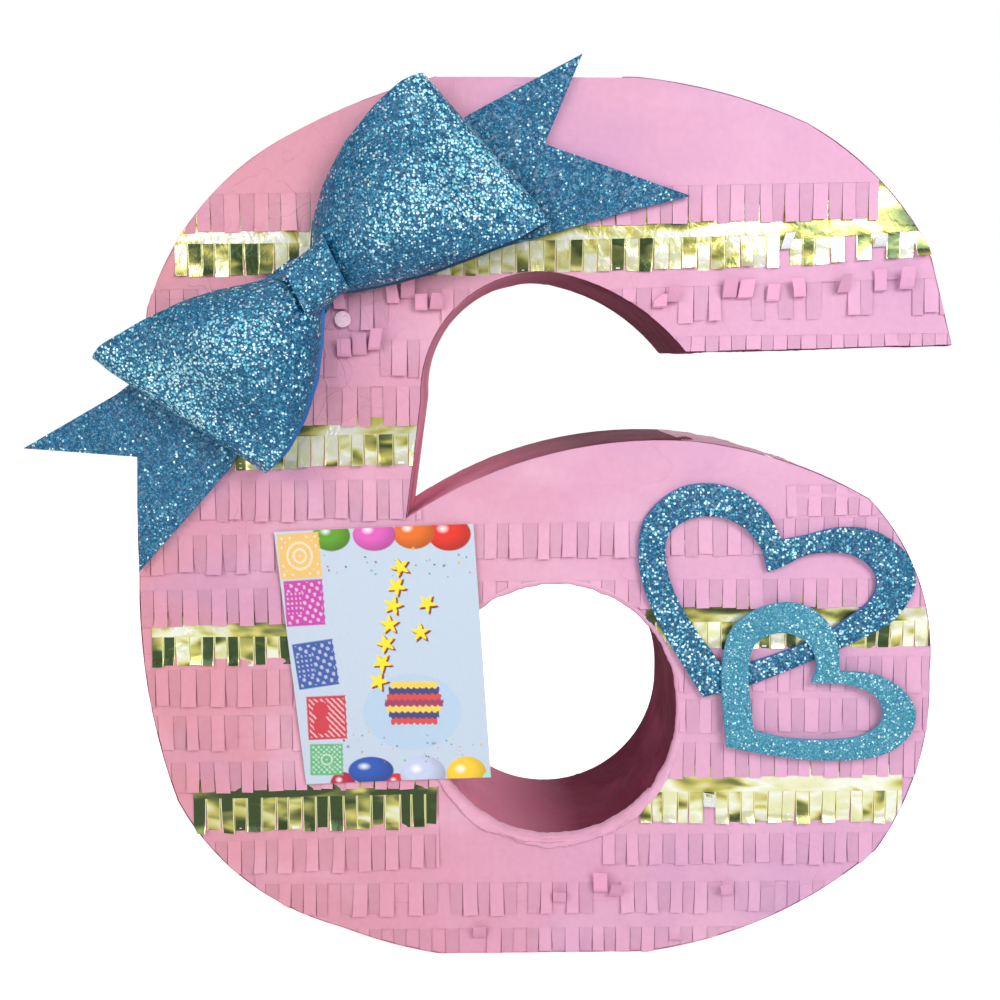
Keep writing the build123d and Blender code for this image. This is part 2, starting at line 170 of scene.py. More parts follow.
# ---------------------------------------------------------------- finishes
class Board:
    """Node tree of one material, with short ways to add and join its nodes."""

    def __init__(self, name: str, **values: object) -> None:
        """Starts a material with a principled shader.

        Args:
            name: the material's name.
            values: uniform values of the shader's sockets, with _ for a space.
        """
        self.material = bpy.data.materials.new(name)
        self.material.use_nodes = True
        self.tree = self.material.node_tree
        self.tree.nodes.clear()
        self.shader = self.add("ShaderNodeBsdfPrincipled")
        output = self.add("ShaderNodeOutputMaterial")
        self.tree.links.new(self.shader.outputs[0], output.inputs[0])
        for key, value in values.items():
            self.shader.inputs[key.replace("_", " ")].default_value = value

    def add(self, kind: str, wires: dict | None = None, **settings: object) -> bpy.types.Node:
        """Adds a node.

        Args:
            kind: Blender's name of the node.
            wires: socket names or numbers, with a value or another node's output.
            settings: the node's own properties.

        Returns:
            The new node.
        """
        node = self.tree.nodes.new(kind)
        for key, value in settings.items():
            setattr(node, key, value)
        for key, value in (wires or {}).items():
            if isinstance(value, Socket):
                self.tree.links.new(value, node.inputs[key])
            else:
                node.inputs[key].default_value = value
        return node

    def set(self, socket: str, value: Socket) -> None:
        """Joins an output to the shader."""
        self.tree.links.new(value, self.shader.inputs[socket])

    def place(self, x: float = 1.0, y: float = 1.0, z: float = 1.0) -> Socket:
        """Place on the object in metres, stretched along each axis."""
        coords = self.add("ShaderNodeTexCoord").outputs["Object"]
        return self.add("ShaderNodeMapping", {"Vector": coords, "Scale": (x, y, z)}).outputs[0]

    def noise(self, at: Socket, scale: float, detail: float = 2.0, bend: float = 0.0) -> Socket:
        """Soft random value from 0 to 1."""
        wires = {"Vector": at, "Scale": scale, "Detail": detail, "Distortion": bend}
        return self.add("ShaderNodeTexNoise", wires).outputs[0]

    def cells(self, at: Socket, scale: float, edge: bool = False) -> bpy.types.Node:
        """Cells of a random mosaic, or the distance to their edges."""
        kind = "DISTANCE_TO_EDGE" if edge else "F1"
        return self.add("ShaderNodeTexVoronoi", {"Vector": at, "Scale": scale}, feature=kind)

    def ramp(self, value: Socket, *stops: tuple[float, Colour]) -> Socket:
        """Colour by value.

        Args:
            value: from 0 to 1.
            stops: places and their colours, in order.

        Returns:
            The colour output.
        """
        node = self.add("ShaderNodeValToRGB", {0: value})
        elements = node.color_ramp.elements
        while len(elements) < len(stops):
            elements.new(1.0)
        for element, (at, colour) in zip(elements, stops):
            element.position = at
            element.color = colour
        return node.outputs[0]

    def fade(
        self, value: Socket, low: float, high: float, start: float = 0.0, end: float = 1.0
    ) -> Socket:
        """Value mapped from low-high to start-end, and held there."""
        wires = {"Value": value, "From Min": low, "From Max": high, "To Min": start, "To Max": end}
        return self.add("ShaderNodeMapRange", wires).outputs[0]

    def mix(self, share: object, first: object, second: object, blend: str = "MIX") -> Socket:
        """Blends two colours by a share."""
        wires = {0: share, 6: first, 7: second}
        return self.add("ShaderNodeMix", wires, data_type="RGBA", blend_type=blend).outputs[2]

    def sum(self, operation: str, first: object, second: object) -> Socket:
        """Arithmetic on two values."""
        return self.add("ShaderNodeMath", {0: first, 1: second}, operation=operation).outputs[0]

    def vector(self, operation: str, *wires: object, **named: object) -> Socket:
        """Arithmetic on vectors, with plain values by their socket's name."""
        sockets = {**dict(enumerate(wires)), **named}
        return self.add("ShaderNodeVectorMath", sockets, operation=operation).outputs[0]

    def mark(self, name: str) -> Socket:
        """Value that the mesh carries under a name."""
        return self.add("ShaderNodeAttribute", attribute_name=name).outputs["Fac"]

    def split(self, colour: Socket) -> Sequence[Socket]:
        """The three channels of a colour."""
        return self.add("ShaderNodeSeparateColor", {0: colour}).outputs

    def tune(self, colour: Socket, level: Socket) -> Socket:
        """Colour made lighter or darker by a level, where 1 leaves it alone."""
        return self.add("ShaderNodeHueSaturation", {"Color": colour, "Value": level}).outputs[0]

    def bump(self, height: Socket, depth: float, under: Socket | None = None) -> Socket:
        """Relief from a height.

        Args:
            height: from 0 to 1.
            depth: millimetres between the two.
            under: a normal to build on.

        Returns:
            The normal output.
        """
        wires: dict = {"Height": height, "Distance": depth * MM, "Strength": 1.0}
        if under is not None:
            wires["Normal"] = under
        return self.add("ShaderNodeBump", wires).outputs[0]


@dataclass(frozen=True)
class CrepePaper:
    """Pink tissue crepe: soft clouds of lilac, fold lines and a fine crinkle, with painted light in a tint that
    turns along x.
    """

    name: str
    warm: Colour = srgb(215, 145, 159)
    cool: Colour = srgb(219, 164, 196)
    cloud: Colour = srgb(196, 150, 192)
    pale: Colour = srgb(230, 184, 206)
    painted_light_sweep: tuple[float, float] = (-0.2, 0.12)  # where it turns from warm to cool, in metres along x: painted light, and painted shade on the recess paper
    fold_depth: float = 0.7
    grain: float = 0.05
    gloss: float = 0.5

    def make(self) -> bpy.types.Material:
        """Mixes the tints, then lays fold lines, crinkle and two sizes of wrinkle over each other.

        Returns:
            The paper's material.
        """
        board = Board(
            self.name, Roughness=0.78, Specular_IOR_Level=self.gloss,
            Sheen_Weight=0.3 * self.gloss, Sheen_Roughness=0.6,
        )
        at = board.place()
        across = board.add("ShaderNodeSeparateXYZ", {0: at}).outputs[0]
        # Painted light: the tint turns from warm at the left to cool at the right.
        tint = board.mix(board.fade(across, *self.painted_light_sweep), self.warm, self.cool)
        lilac = board.fade(board.noise(at, 11, 2, 0.4), 0.52, 0.72, 0, 0.5)
        tint = board.mix(lilac, tint, self.cloud)
        bleach = board.fade(board.noise(board.place(14, 14, 22), 1, 3), 0.5, 0.75, 0, 0.5)
        tint = board.mix(bleach, tint, self.pale)
        mottle = board.fade(board.noise(at, 240, 3), 0.3, 0.7, 0.975, 1.025)
        # Painted shade and light: the shade mark darkens the recessed tabs and lightens the raised tabs and the rim
        # folds.
        board.set("Base Color", board.tune(tint, board.sum("ADD", board.mark("shade"), mottle)))
        stir = board.add("ShaderNodeTexNoise", {"Vector": at, "Scale": 22.0}).outputs[1]
        lines = board.cells(board.vector("MULTIPLY_ADD", at, stir), 21, edge=True)
        folds = board.fade(lines.outputs[0], 0.0, 0.05, 1, 0)
        patchy = board.sum("MULTIPLY", folds, board.fade(board.noise(at, 9, 1), 0.45, 0.65))
        normal = board.bump(patchy, self.fold_depth * 0.3)
        normal = board.bump(board.noise(board.place(1, 1, 0.35), 420, 3), self.grain, normal)
        normal = board.bump(board.noise(at, 45, 3, 0.6), self.fold_depth, normal)
        normal = board.bump(board.noise(at, 15, 2, 0.8), 4 * self.fold_depth, normal)
        board.set("Normal", normal)
        return board.material


@dataclass(frozen=True)
class GoldFoil:
    """Thin metallised film, which mirrors the room, with bands of white, yellow and dark green painted into its
    colour as reflections.
    """

    name: str
    # Colours of the painted reflection bands, from dark to white.
    dark: Colour = srgb(66, 84, 50)
    olive: Colour = srgb(132, 138, 78)
    gold: Colour = srgb(214, 206, 112)
    pale: Colour = srgb(238, 240, 190)
    white: Colour = srgb(255, 255, 244)
    # Painted highlight along the foil tabs' edges.
    edge: Colour = srgb(246, 246, 176)

    def make(self) -> bpy.types.Material:
        """Runs a ramp of painted reflections through the film's colour, shifted on each tab by its shade mark.

        Returns:
            The foil's material.
        """
        board = Board(self.name, Metallic=0.6, Roughness=0.24)
        at = board.place(26, 26, 64)
        drift = board.sum("MULTIPLY", board.mark("shade"), 9.0)
        shift = board.add("ShaderNodeCombineXYZ", {0: drift, 2: drift}).outputs[0]
        band = board.noise(board.vector("ADD", at, shift), 1.0, 2, 0.5)
        painted_light_tone = board.sum("MULTIPLY", board.sum("SUBTRACT", board.mark("shade"), 0.5), 0.26)
        colour = board.ramp(
            board.sum("ADD", band, painted_light_tone),
            (0.32, self.dark), (0.4, self.olive), (0.46, self.gold),
            (0.51, self.pale), (0.58, self.white), (0.72, self.pale),
        )
        # Painted highlight: the edge mark lays this bright colour along each side of a foil tab.
        board.set("Base Color", board.mix(board.mark("edge"), colour, self.edge))
        crinkle = board.noise(board.place(), 150, 3, 0.8)
        dents = board.bump(board.noise(board.place(), 32, 2), 0.8)
        board.set("Normal", board.bump(crinkle, 0.35, dents))
        return board.material


@dataclass(frozen=True)
class GlitterFoam:
    """Craft foam with a coat of glitter flecks that lie at every angle."""

    name: str
    deep: Colour
    body: Colour
    fleck: Colour
    pitch: float = 1.5
    cover: float = 0.52
    # Near-white spark of the flecks: the glitter's own, and in part painted glints.
    spark: Colour = srgb(210, 248, 255)

    def make(self) -> bpy.types.Material:
        """Scatters flecks by the cells of a mosaic; each has its own size, colour and lean.

        Returns:
            The glitter's material.
        """
        board = Board(self.name, Roughness=0.36)
        at = board.place()
        stir = board.add("ShaderNodeTexNoise", {"Vector": at, "Scale": 900.0}).outputs[1]
        at = board.vector("ADD", at, board.vector("SCALE", stir, Scale=0.0011))
        grains = board.cells(at, 1000 / self.pitch)
        chance, girth, colour = board.split(grains.outputs[1])
        cloud = board.fade(board.noise(at, 70, 3), 0.3, 0.7, -0.12, 0.12)
        # Painted highlight: the shade mark thickens the flecks along the loops' bright band, and where it is below
        # zero it thins them.
        cover = board.sum("ADD", board.sum("ADD", cloud, self.cover), board.mark("shade"))
        chosen = board.sum("LESS_THAN", chance, cover)
        dot = board.sum("LESS_THAN", grains.outputs[0], board.fade(girth, 0, 1, 0.32, 0.6))
        fleck = board.sum("MULTIPLY", chosen, dot)
        dust = board.split(board.cells(at, 2300 / self.pitch).outputs[1])[0]
        ground = board.mix(dust, self.deep, self.body)
        ground = board.mix(board.fade(dust, 0.8, 0.82, 0, 0.28), ground, self.fleck)
        # The near-white fleck colours are the glitter's own, and in part painted glints.
        bright = board.mix(board.fade(colour, 0.2, 0.7), self.fleck, self.spark)
        board.set("Base Color", board.mix(fleck, ground, bright))
        board.set("Metallic", board.sum("MULTIPLY", fleck, 0.3))
        lean = board.vector("SUBTRACT", grains.outputs[1], (0.5, 0.5, 0.5))
        lean = board.vector("SCALE", lean, Scale=0.8)
        face = board.add("ShaderNodeNewGeometry").outputs["Normal"]
        board.set("Normal", board.vector("NORMALIZE", board.vector("ADD", face, lean)))
        return board.material


@dataclass(frozen=True)
class PlainFoam:
    """Cut edge or bare back of craft foam, with its fine open cells."""

    name: str
    colour: Colour
    shade: Colour

    def make(self) -> bpy.types.Material:
        """Speckles the foam with fine pores.

        Returns:
            The bare foam's material.
        """
        board = Board(self.name, Roughness=0.6)
        at = board.place()
        pores = board.noise(at, 1500, 2)
        board.set("Base Color", board.mix(board.fade(pores, 0.35, 0.65), self.shade, self.colour))
        board.set("Normal", board.bump(pores, 0.12))
        return board.material


@dataclass(frozen=True)
class Cardboard:
    """Kraft corrugated board: fibres, faint flute lines and a fine tooth."""

    name: str
    kraft: Colour = srgb(186, 146, 102)
    fibre: Colour = srgb(150, 112, 74)
    flute_pitch: float = 6.5

    def make(self) -> bpy.types.Material:
        """Lays fibres in the colour, and flute lines and a fine tooth in the relief.

        Returns:
            The board's material.
        """
        board = Board(self.name, Roughness=0.85)
        at = board.place()
        fibres = board.noise(board.place(1, 1, 9), 160, 4)
        board.set("Base Color", board.mix(board.fade(fibres, 0.35, 0.7), self.kraft, self.fibre))
        wave = {"Vector": at, "Scale": 314.0 / self.flute_pitch, "Distortion": 0.3}
        flutes = board.add("ShaderNodeTexWave", wave).outputs[1]
        board.set("Normal", board.bump(flutes, 0.12, board.bump(board.noise(at, 900, 2), 0.06)))
        return board.material


@dataclass(frozen=True)
class MaskingTape:
    """Cream crepe tape with fine crosswise ribs."""

    name: str
    cream: Colour = srgb(228, 210, 168)
    shade: Colour = srgb(206, 184, 138)

    def make(self) -> bpy.types.Material:
        """Ribs the tape in colour and relief.

        Returns:
            The tape's material.
        """
        board = Board(self.name, Roughness=0.6)
        ribs = board.noise(board.place(3, 1, 0.5), 500, 2)
        board.set("Base Color", board.mix(board.fade(ribs, 0.3, 0.7), self.shade, self.cream))
        board.set("Normal", board.bump(ribs, 0.08))
        return board.material


@dataclass(frozen=True)
class WovenRibbon:
    """Grosgrain ribbon with raised crosswise cords."""

    name: str
    colour: Colour = srgb(46, 120, 160)
    shade: Colour = srgb(24, 82, 118)

    def make(self) -> bpy.types.Material:
        """Raises the crosswise cords and adds worn threads.

        Returns:
            The ribbon's material.
        """
        board = Board(self.name, Roughness=0.5, Sheen_Weight=0.3)
        wave = {"Vector": board.place(), "Scale": 260.0}
        cords = board.add("ShaderNodeTexWave", wave, bands_direction="Z").outputs[1]
        threads = board.noise(board.place(6, 1, 1), 500, 2)
        tint = board.mix(board.fade(cords, 0.2, 0.8), self.shade, self.colour)
        board.set("Base Color", board.mix(board.fade(threads, 0.4, 0.8, 0, 0.35), tint, self.shade))
        board.set("Normal", board.bump(cords, 0.18, board.bump(threads, 0.05)))
        return board.material


@dataclass(frozen=True)
class HotGlue:
    """Set hot glue: milky, wet-looking, with small bubbles."""

    name: str
    rosy: Colour = srgb(216, 158, 188)
    milky: Colour = srgb(248, 232, 242)

    def make(self) -> bpy.types.Material:
        """Clouds the glue and gives it a soft lumpy skin.

        Returns:
            The glue's material.
        """
        board = Board(
            self.name, Roughness=0.12, Coat_Weight=0.6, Subsurface_Weight=0.3, Subsurface_Scale=0.002
        )
        at = board.place()
        board.set("Base Color", board.mix(board.noise(at, 260, 3), self.rosy, self.milky))
        board.set("Normal", board.bump(board.noise(at, 420, 2), 0.5))
        return board.material


@dataclass(frozen=True)
class PrintedCard:
    """Coated card whose print is carried by the mesh."""

    name: str

    def make(self) -> bpy.types.Material:
        """Shows the mesh's own ink under a thin coat.

        Returns:
            The card's material.
        """
        board = Board(self.name, Roughness=0.34, Coat_Weight=0.25, Coat_Roughness=0.2)
        ink = board.add("ShaderNodeAttribute", attribute_name="print").outputs["Color"]
        at = board.place()
        dots = board.fade(board.noise(at, 1400, 1), 0.3, 0.7, 0.97, 1.03)
        board.set("Base Color", board.tune(ink, dots))
        board.set("Normal", board.bump(board.noise(at, 60, 2), 0.15))
        return board.material


# ---------------------------------------------------------------- sheets
def cut(sheet: Sheet, x: float, z: float, run: float, rise: float, drop: bool = False) -> None:
    """Cuts a flat sheet along a line through (x, z).

    Args:
        sheet: the sheet, in the plane of x and z.
        x: a point of the line.
        z: a point of the line.
        run: the line's normal, along x.
        rise: the line's normal, along z.
        drop: takes away what lies on the normal's side.
    """
    parts = sheet.verts[:] + sheet.edges[:] + sheet.faces[:]
    bmesh.ops.bisect_plane(
        sheet, geom=parts, dist=SAME, plane_co=(x, 0, z), plane_no=(run, 0, rise), clear_outer=drop
    )


def rule(sheet: Sheet, pitch: float) -> None:
    """Cuts a flat sheet into squares, which stay joined.

    Args:
        sheet: the sheet, in the plane of x and z.
        pitch: side of a square.
    """
    if not sheet.verts:
        return
    xs = [v.co.x for v in sheet.verts]
    zs = [v.co.z for v in sheet.verts]
    for x in np.arange(math.floor(min(xs) / pitch) * pitch, max(xs), pitch):
        cut(sheet, x, 0, 1, 0)
    for z in np.arange(math.floor(min(zs) / pitch) * pitch, max(zs), pitch):
        cut(sheet, 0, z, 0, 1)


def thicken(sheet: Sheet, thickness: float, back: int = 0, rim: int = 0) -> None:
    """Gives a sheet its thickness behind its faces.

    Args:
        sheet: the sheet, whose faces look outward.
        thickness: how far the back lies behind.
        back: material number of the back.
        rim: material number of the cut edges.
    """
    sheet.normal_update()
    fronts = sheet.faces[:]
    edges = [(e, e.link_loops[0]) for e in sheet.edges if e.is_boundary]
    layers = list(sheet.loops.layers.float.values())
    twins = {v: sheet.verts.new(v.co - v.normal * thickness) for v in sheet.verts[:]}
    for face in fronts:
        new = sheet.faces.new([twins[v] for v in reversed(face.verts)])
        new.material_index, new.smooth = back, face.smooth
        for layer in layers:
            for loop in new.loops:
                loop[layer] = face.loops[0][layer]
    for edge, loop in edges:
        a, b = loop.vert, loop.link_loop_next.vert
        new = sheet.faces.new([b, a, twins[a], twins[b]])
        new.material_index = rim
        for layer in layers:
            for corner in new.loops:
                corner[layer] = loop[layer]


def lattice(points: np.ndarray, closed: bool = False) -> Sheet:
    """Sheet over a grid of points.

    Args:
        points: rows by columns by 3.
        closed: joins the last row to the first.

    Returns:
        The sheet, whose faces look along (next row) x (next column).
    """
    sheet = bmesh.new()
    grid = [[sheet.verts.new(p) for p in row] for row in points]
    for i in range(len(grid) - (0 if closed else 1)):
        this, after = grid[i], grid[(i + 1) % len(grid)]
        for j in range(len(this) - 1):
            sheet.faces.new([this[j], after[j], after[j + 1], this[j + 1]]).smooth = True
    return sheet


def marks(sheet: Sheet) -> tuple:
    """The sheet's two marks: shade, which sets painted shade and light on crepe, painted reflections on foil and
    painted glints on glitter; and edge, a painted highlight along a foil tab's cut edges.
    """
    layers = sheet.loops.layers.float
    return layers.get("shade") or layers.new("shade"), layers.get("edge") or layers.new("edge")


def shade_faces(sheet: Sheet, shades: Iterable[float]) -> None:
    """Writes the shade mark of every face.

    Args:
        sheet: the sheet.
        shades: a value for each face, in order.
    """
    shade, _ = marks(sheet)
    for face, value in zip(sheet.faces, shades):
        for corner in face.loops:
            corner[shade] = value


def cloud_shades(sheet: Sheet, level: float, swing: float, seed: float) -> Iterable[float]:
    """Soft random shade of each face, within about a swing of a level."""
    middles = (face.calc_center_median() for face in sheet.faces)
    return (level + swing * rumple(m.x * 0.02, m.z * 0.02, seed) for m in middles)


def join(whole: Sheet, part: Sheet) -> None:
    """Adds one sheet to another, and frees it.

    Args:
        whole: the sheet that grows.
        part: the sheet that goes into it.
    """
    mesh = bpy.data.meshes.new("part")
    part.to_mesh(mesh)
    whole.from_mesh(mesh)
    part.free()
    bpy.data.meshes.remove(mesh)


class Side(Enum):
    """Which face of a flat CAD sheet is meant, by the direction along y that it looks."""

    FRONT = -1
    BACK = 1


class FacePattern:
    """Flat shape of one side of a CAD sheet, from which paper pieces are cut."""

    def __init__(self, node: bpy.types.Object, facing: Side) -> None:
        """Takes the shape of a node's front or back.

        Args:
            node: a flat CAD sheet.
            facing: which of the two.
        """
        self.flat = bmesh.new()
        self.flat.from_mesh(node.data)
        bmesh.ops.scale(self.flat, vec=(1 / MM,) * 3, verts=self.flat.verts)
        bmesh.ops.remove_doubles(self.flat, verts=self.flat.verts, dist=ON_LINE)
        self.flat.normal_update()
        away = [f for f in self.flat.faces if f.normal.y * facing.value < 0.9]
        bmesh.ops.delete(self.flat, geom=away, context="FACES")
        flat = {"verts": self.flat.verts, "edges": self.flat.edges}
        bmesh.ops.dissolve_limit(self.flat, angle_limit=0.0005, **flat)
        self.flat.normal_update()

    def sheet(self, *cuts: tuple[float, float, float, float]) -> Sheet:
        """Trims a copy of the shape.

        Args:
            cuts: lines, each as a point's x and z and the x and z of its normal, which looks at the waste.

        Returns:
            The trimmed copy.
        """
        piece = self.flat.copy()
        for x, z, run, rise in cuts:
            cut(piece, x, z, run, rise, drop=True)
        return piece

    def rims(self) -> list[np.ndarray]:
        """Follows the shape's closed edges.

        Returns:
            Their points, largest edge first, each with the shape on the same hand.
        """
        after = {}
        for edge in self.flat.edges:
            if edge.is_boundary:
                loop = edge.link_loops[0]
                after[loop.vert] = loop.link_loop_next.vert
        rims = []
        while after:
            start, here = next(iter(after.items()))
            del after[start]
            line = [start]
            while here is not start:
                line.append(here)
                here = after.pop(here)
            rims.append(np.array([(v.co.x, v.co.z) for v in line]))
        return sorted(rims, key=lambda r: -np.ptp(r, axis=0).sum())


class Edge:
    """One closed edge of the numeral, measured along its length."""

    def __init__(self, rim: np.ndarray, pitch: float) -> None:
        """Spaces points along the rim.

        Args:
            rim: the closed edge's points, the shape's front seen from -y.
            pitch: distance between points.
        """
        ring = np.vstack([rim, rim[:1]])
        step = np.linalg.norm(np.diff(ring, axis=0), axis=1)
        run = np.concatenate([[0], np.cumsum(step)])
        turn = np.diff(ring, axis=0) / step[:, None]
        bend = np.abs(np.cross(np.roll(turn, 1, axis=0), turn))
        corners = run[:-1][bend > 0.2]
        even = np.linspace(0, run[-1], max(8, round(run[-1] / pitch)), endpoint=False)
        at = np.unique(np.concatenate([even, corners]))
        self.at = at
        self.points = np.stack([np.interp(at, run, ring[:, 0]), np.interp(at, run, ring[:, 1])], axis=1)
        ahead = np.roll(self.points, -1, axis=0) - np.roll(self.points, 1, axis=0)
        ahead /= np.linalg.norm(ahead, axis=1)[:, None]
        self.out = np.stack([ahead[:, 1], -ahead[:, 0]], axis=1)

    def span(self, node: bpy.types.Object) -> tuple[int, int]:
        """Finds the stretch of the edge that a CAD sheet covers.

        Args:
            node: the CAD sheet.

        Returns:
            Its first and last point; the last may pass the ring's end.
        """
        places = np.array([(v.co.x / MM, v.co.z / MM) for v in node.data.vertices])
        near = np.argmin(((places[:, None, :] - self.points[None]) ** 2).sum(axis=2), axis=1)
        used = np.unique(near)
        gaps = np.diff(np.concatenate([used, [used[0] + len(self.points)]]))
        widest = int(np.argmax(gaps))
        first = int(used[(widest + 1) % len(used)])
        last = int(used[widest])
        return first, last if last > first else last + len(self.points)


@dataclass
class Workshop:
    """Where the pieces are mounted on the frame."""

    nodes: dict[str, bpy.types.Object]
    finishes: dict[str, bpy.types.Material]
    mounted: list[str] = field(default_factory=list)

    def mount(
        self,
        name: str,
        sheet: Sheet,
        finishes: Sequence[str],
        slot: str,
        stands_for: Iterable[str] = (),
        body: str = "root",
        crisp: float = 40.0,
    ) -> bpy.types.Object:
        """Makes an object of a finished sheet and puts it on the frame.

        Args:
            name: the piece's name.
            sheet: its shape in millimetres.
            finishes: names of its finishes, in the order of its material numbers.
            slot: the record's material slot; not used.
            stands_for: CAD nodes that it replaces.
            body: the body that it rides on, or nothing for a piece that is blended.
            crisp: edges sharper than this many degrees stay sharp.

        Returns:
            The object.
        """
        bmesh.ops.scale(sheet, vec=(MM,) * 3, verts=sheet.verts)
        mesh = bpy.data.meshes.new(name)
        sheet.to_mesh(mesh)
        sheet.free()
        for finish in finishes:
            mesh.materials.append(self.finishes[finish])
        mesh.shade_smooth()
        mesh.set_sharp_from_angle(angle=math.radians(crisp))
        piece = bpy.data.objects.new(name, mesh)
        bpy.context.scene.collection.objects.link(piece)
        if body:
            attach(piece, body)
        if stands_for:
            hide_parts(*stands_for)
        self.mounted.append(name)
        log.info("%s: %d faces", name, len(mesh.polygons))
        return piece

    def dress(self, node: str, finish: str) -> None:
        """Gives a CAD node its finish.

        Args:
            node: the node's name.
            finish: the finish's name.
        """
        slots = self.nodes[node].data.materials
        slots.clear()
        slots.append(self.finishes[finish])
        log.info("%s: %s", node, finish)


# ---------------------------------------------------------------- fringe
class Mood(Enum):
    """How well a stretch of fringe hangs: shares of tabs folded up and missing."""

    NEAT = (0.0, 0.01)
    WORN = (0.03, 0.09)
    RUFFLED = (0.42, 0.03)
    RUMPLED = (0.36, 0.08)
    FRAYED = (0.16, 0.12)
    TIDY_FOIL = (0.001, 0.0)
    LOOSE_FOIL = (0.14, 0.04)


@dataclass(frozen=True)
class Fringe:
    """One stretch of a fringe row, from its cut bottom up to its slits, and its plain band above them."""

    left: float
    right: float
    bottom_left: float
    bottom_right: float
    slit: float
    top: float
    mood: Mood = Mood.NEAT
    proud: float = 0.8
    tab: float = 7.8
    band: bool = True
    tabs: bool = True
    # Level of a foil row's painted reflections, for its band and as the middle of its tabs.
    painted_reflection: float = 0.6

    @property
    def slope(self) -> float:
        """Rise of the bottom per millimetre to the right."""
        return (self.bottom_right - self.bottom_left) / (self.right - self.left)

    def bottom(self, x: float) -> float:
        """Height of the cut bottom at x."""
        return self.bottom_left + (x - self.left) * self.slope


@dataclass
class Tab:
    """One cut tab of a stretch while it is still flat."""

    faces: list[bmesh.types.BMFace]
    left: float
    right: float
    raised: bool

    @property
    def middle(self) -> float:
        """Its middle along x."""
        return (self.left + self.right) / 2

    @property
    def width(self) -> float:
        """Its width along x."""
        return self.right - self.left


@dataclass(frozen=True)
class FringeRow:
    """One row of fringe, and the CAD slab that it stands for."""

    node: str
    foil: bool
    parts: tuple[Fringe, ...]


FRINGE_ROWS = (
    FringeRow("pink_fringe_00", False, (Fringe(-225, 187, 423.1, 431.7, 20.5, 540, proud=0.9),)),
    FringeRow("gold_fringe_01", True, (
        Fringe(-206, -137, 399.4, 400.0, 18, 437, Mood.LOOSE_FOIL, painted_reflection=0.3),
        Fringe(-137, 132, 398.4, 405.0, 18, 440, Mood.TIDY_FOIL, painted_reflection=0.7),
        Fringe(132, 224, 405.2, 411.4, 15, 442, Mood.LOOSE_FOIL),
        Fringe(180, 240, 425, 425, 3, 458, tabs=False),
    )),
    FringeRow("pink_fringe_02", False, (
        Fringe(-240, -20, 369.5, 370.1, 23, 406, Mood.RUFFLED),
        Fringe(-20, 235, 371, 379.8, 20, 412, Mood.RUMPLED),
    )),
    FringeRow("pink_fringe_03", False, (
        Fringe(-240, -40, 343.3, 343.8, 21, 376, Mood.RUFFLED),
        Fringe(40, 240, 357.2, 359.6, 9, 384),
    )),
    FringeRow("pink_fringe_04", False, (Fringe(-240, -60, 315.2, 316.1, 22.5, 350),)),
    FringeRow("gold_fringe_05", True, (Fringe(-229, -72, 290.2, 293.9, 18, 321, Mood.TIDY_FOIL),)),
    FringeRow("pink_fringe_06", False, (Fringe(-240, -70, 261.5, 262.8, 23, 300),)),
    FringeRow("pink_fringe_07", False, (
        Fringe(-240, -65, 230.8, 234.0, 22, 268),
        Fringe(-65, 240, 239.0, 243.4, 20.5, 280, band=False),
    )),
    FringeRow("pink_fringe_08", False, (
        Fringe(-240, -50, 200.4, 203.8, 21, 238, Mood.WORN),
        Fringe(-50, 240, 209.4, 210.7, 17, 250, Mood.WORN),
    )),
    FringeRow("gold_fringe_09", True, (
        Fringe(-226, -60, 177.3, 177.8, 17, 209, Mood.LOOSE_FOIL, painted_reflection=0.15),
        Fringe(60, 232, 185.9, 186.3, 16, 217, Mood.TIDY_FOIL, painted_reflection=0.45),
    )),
    FringeRow("pink_fringe_10", False, (
        Fringe(-240, -60, 152.9, 153.0, 22, 184),
        Fringe(60, 240, 160.1, 159.8, 21, 192),
    )),
    FringeRow("pink_fringe_11", False, (
        Fringe(-240, -60, 126.4, 127.1, 21, 160),
        Fringe(60, 240, 135.3, 135.6, 20.5, 167),
    )),
    FringeRow("pink_fringe_12", False, (
        Fringe(-240, -40, 101.0, 103.4, 18, 134),
        Fringe(60, 240, 107.9, 108.1, 21.5, 143),
    )),
    FringeRow("gold_fringe_13", True, (
        Fringe(-205, -62, 76.7, 78.9, 20.5, 109, Mood.TIDY_FOIL, painted_reflection=-0.1),
        Fringe(58, 214, 80.4, 80.4, 19, 115, Mood.TIDY_FOIL, painted_reflection=0.85),
    )),
    FringeRow("pink_fringe_14", False, (
        Fringe(-200, -61, 50.3, 54.2, 20.5, 86, Mood.WORN),
        Fringe(-61, 36, 58, 58, 1, 132, proud=0.15, tabs=False),
        Fringe(36, 215, 55.2, 55.0, 18.6, 88),
    )),
    FringeRow("pink_fringe_15", False, (Fringe(-170, 180, 25.2, 24.4, 19.5, 62, Mood.FRAYED),)),
    FringeRow("pink_fringe_16", False, (Fringe(-140, 140, 1.0, 0.6, 15, 32, Mood.FRAYED),)),
)


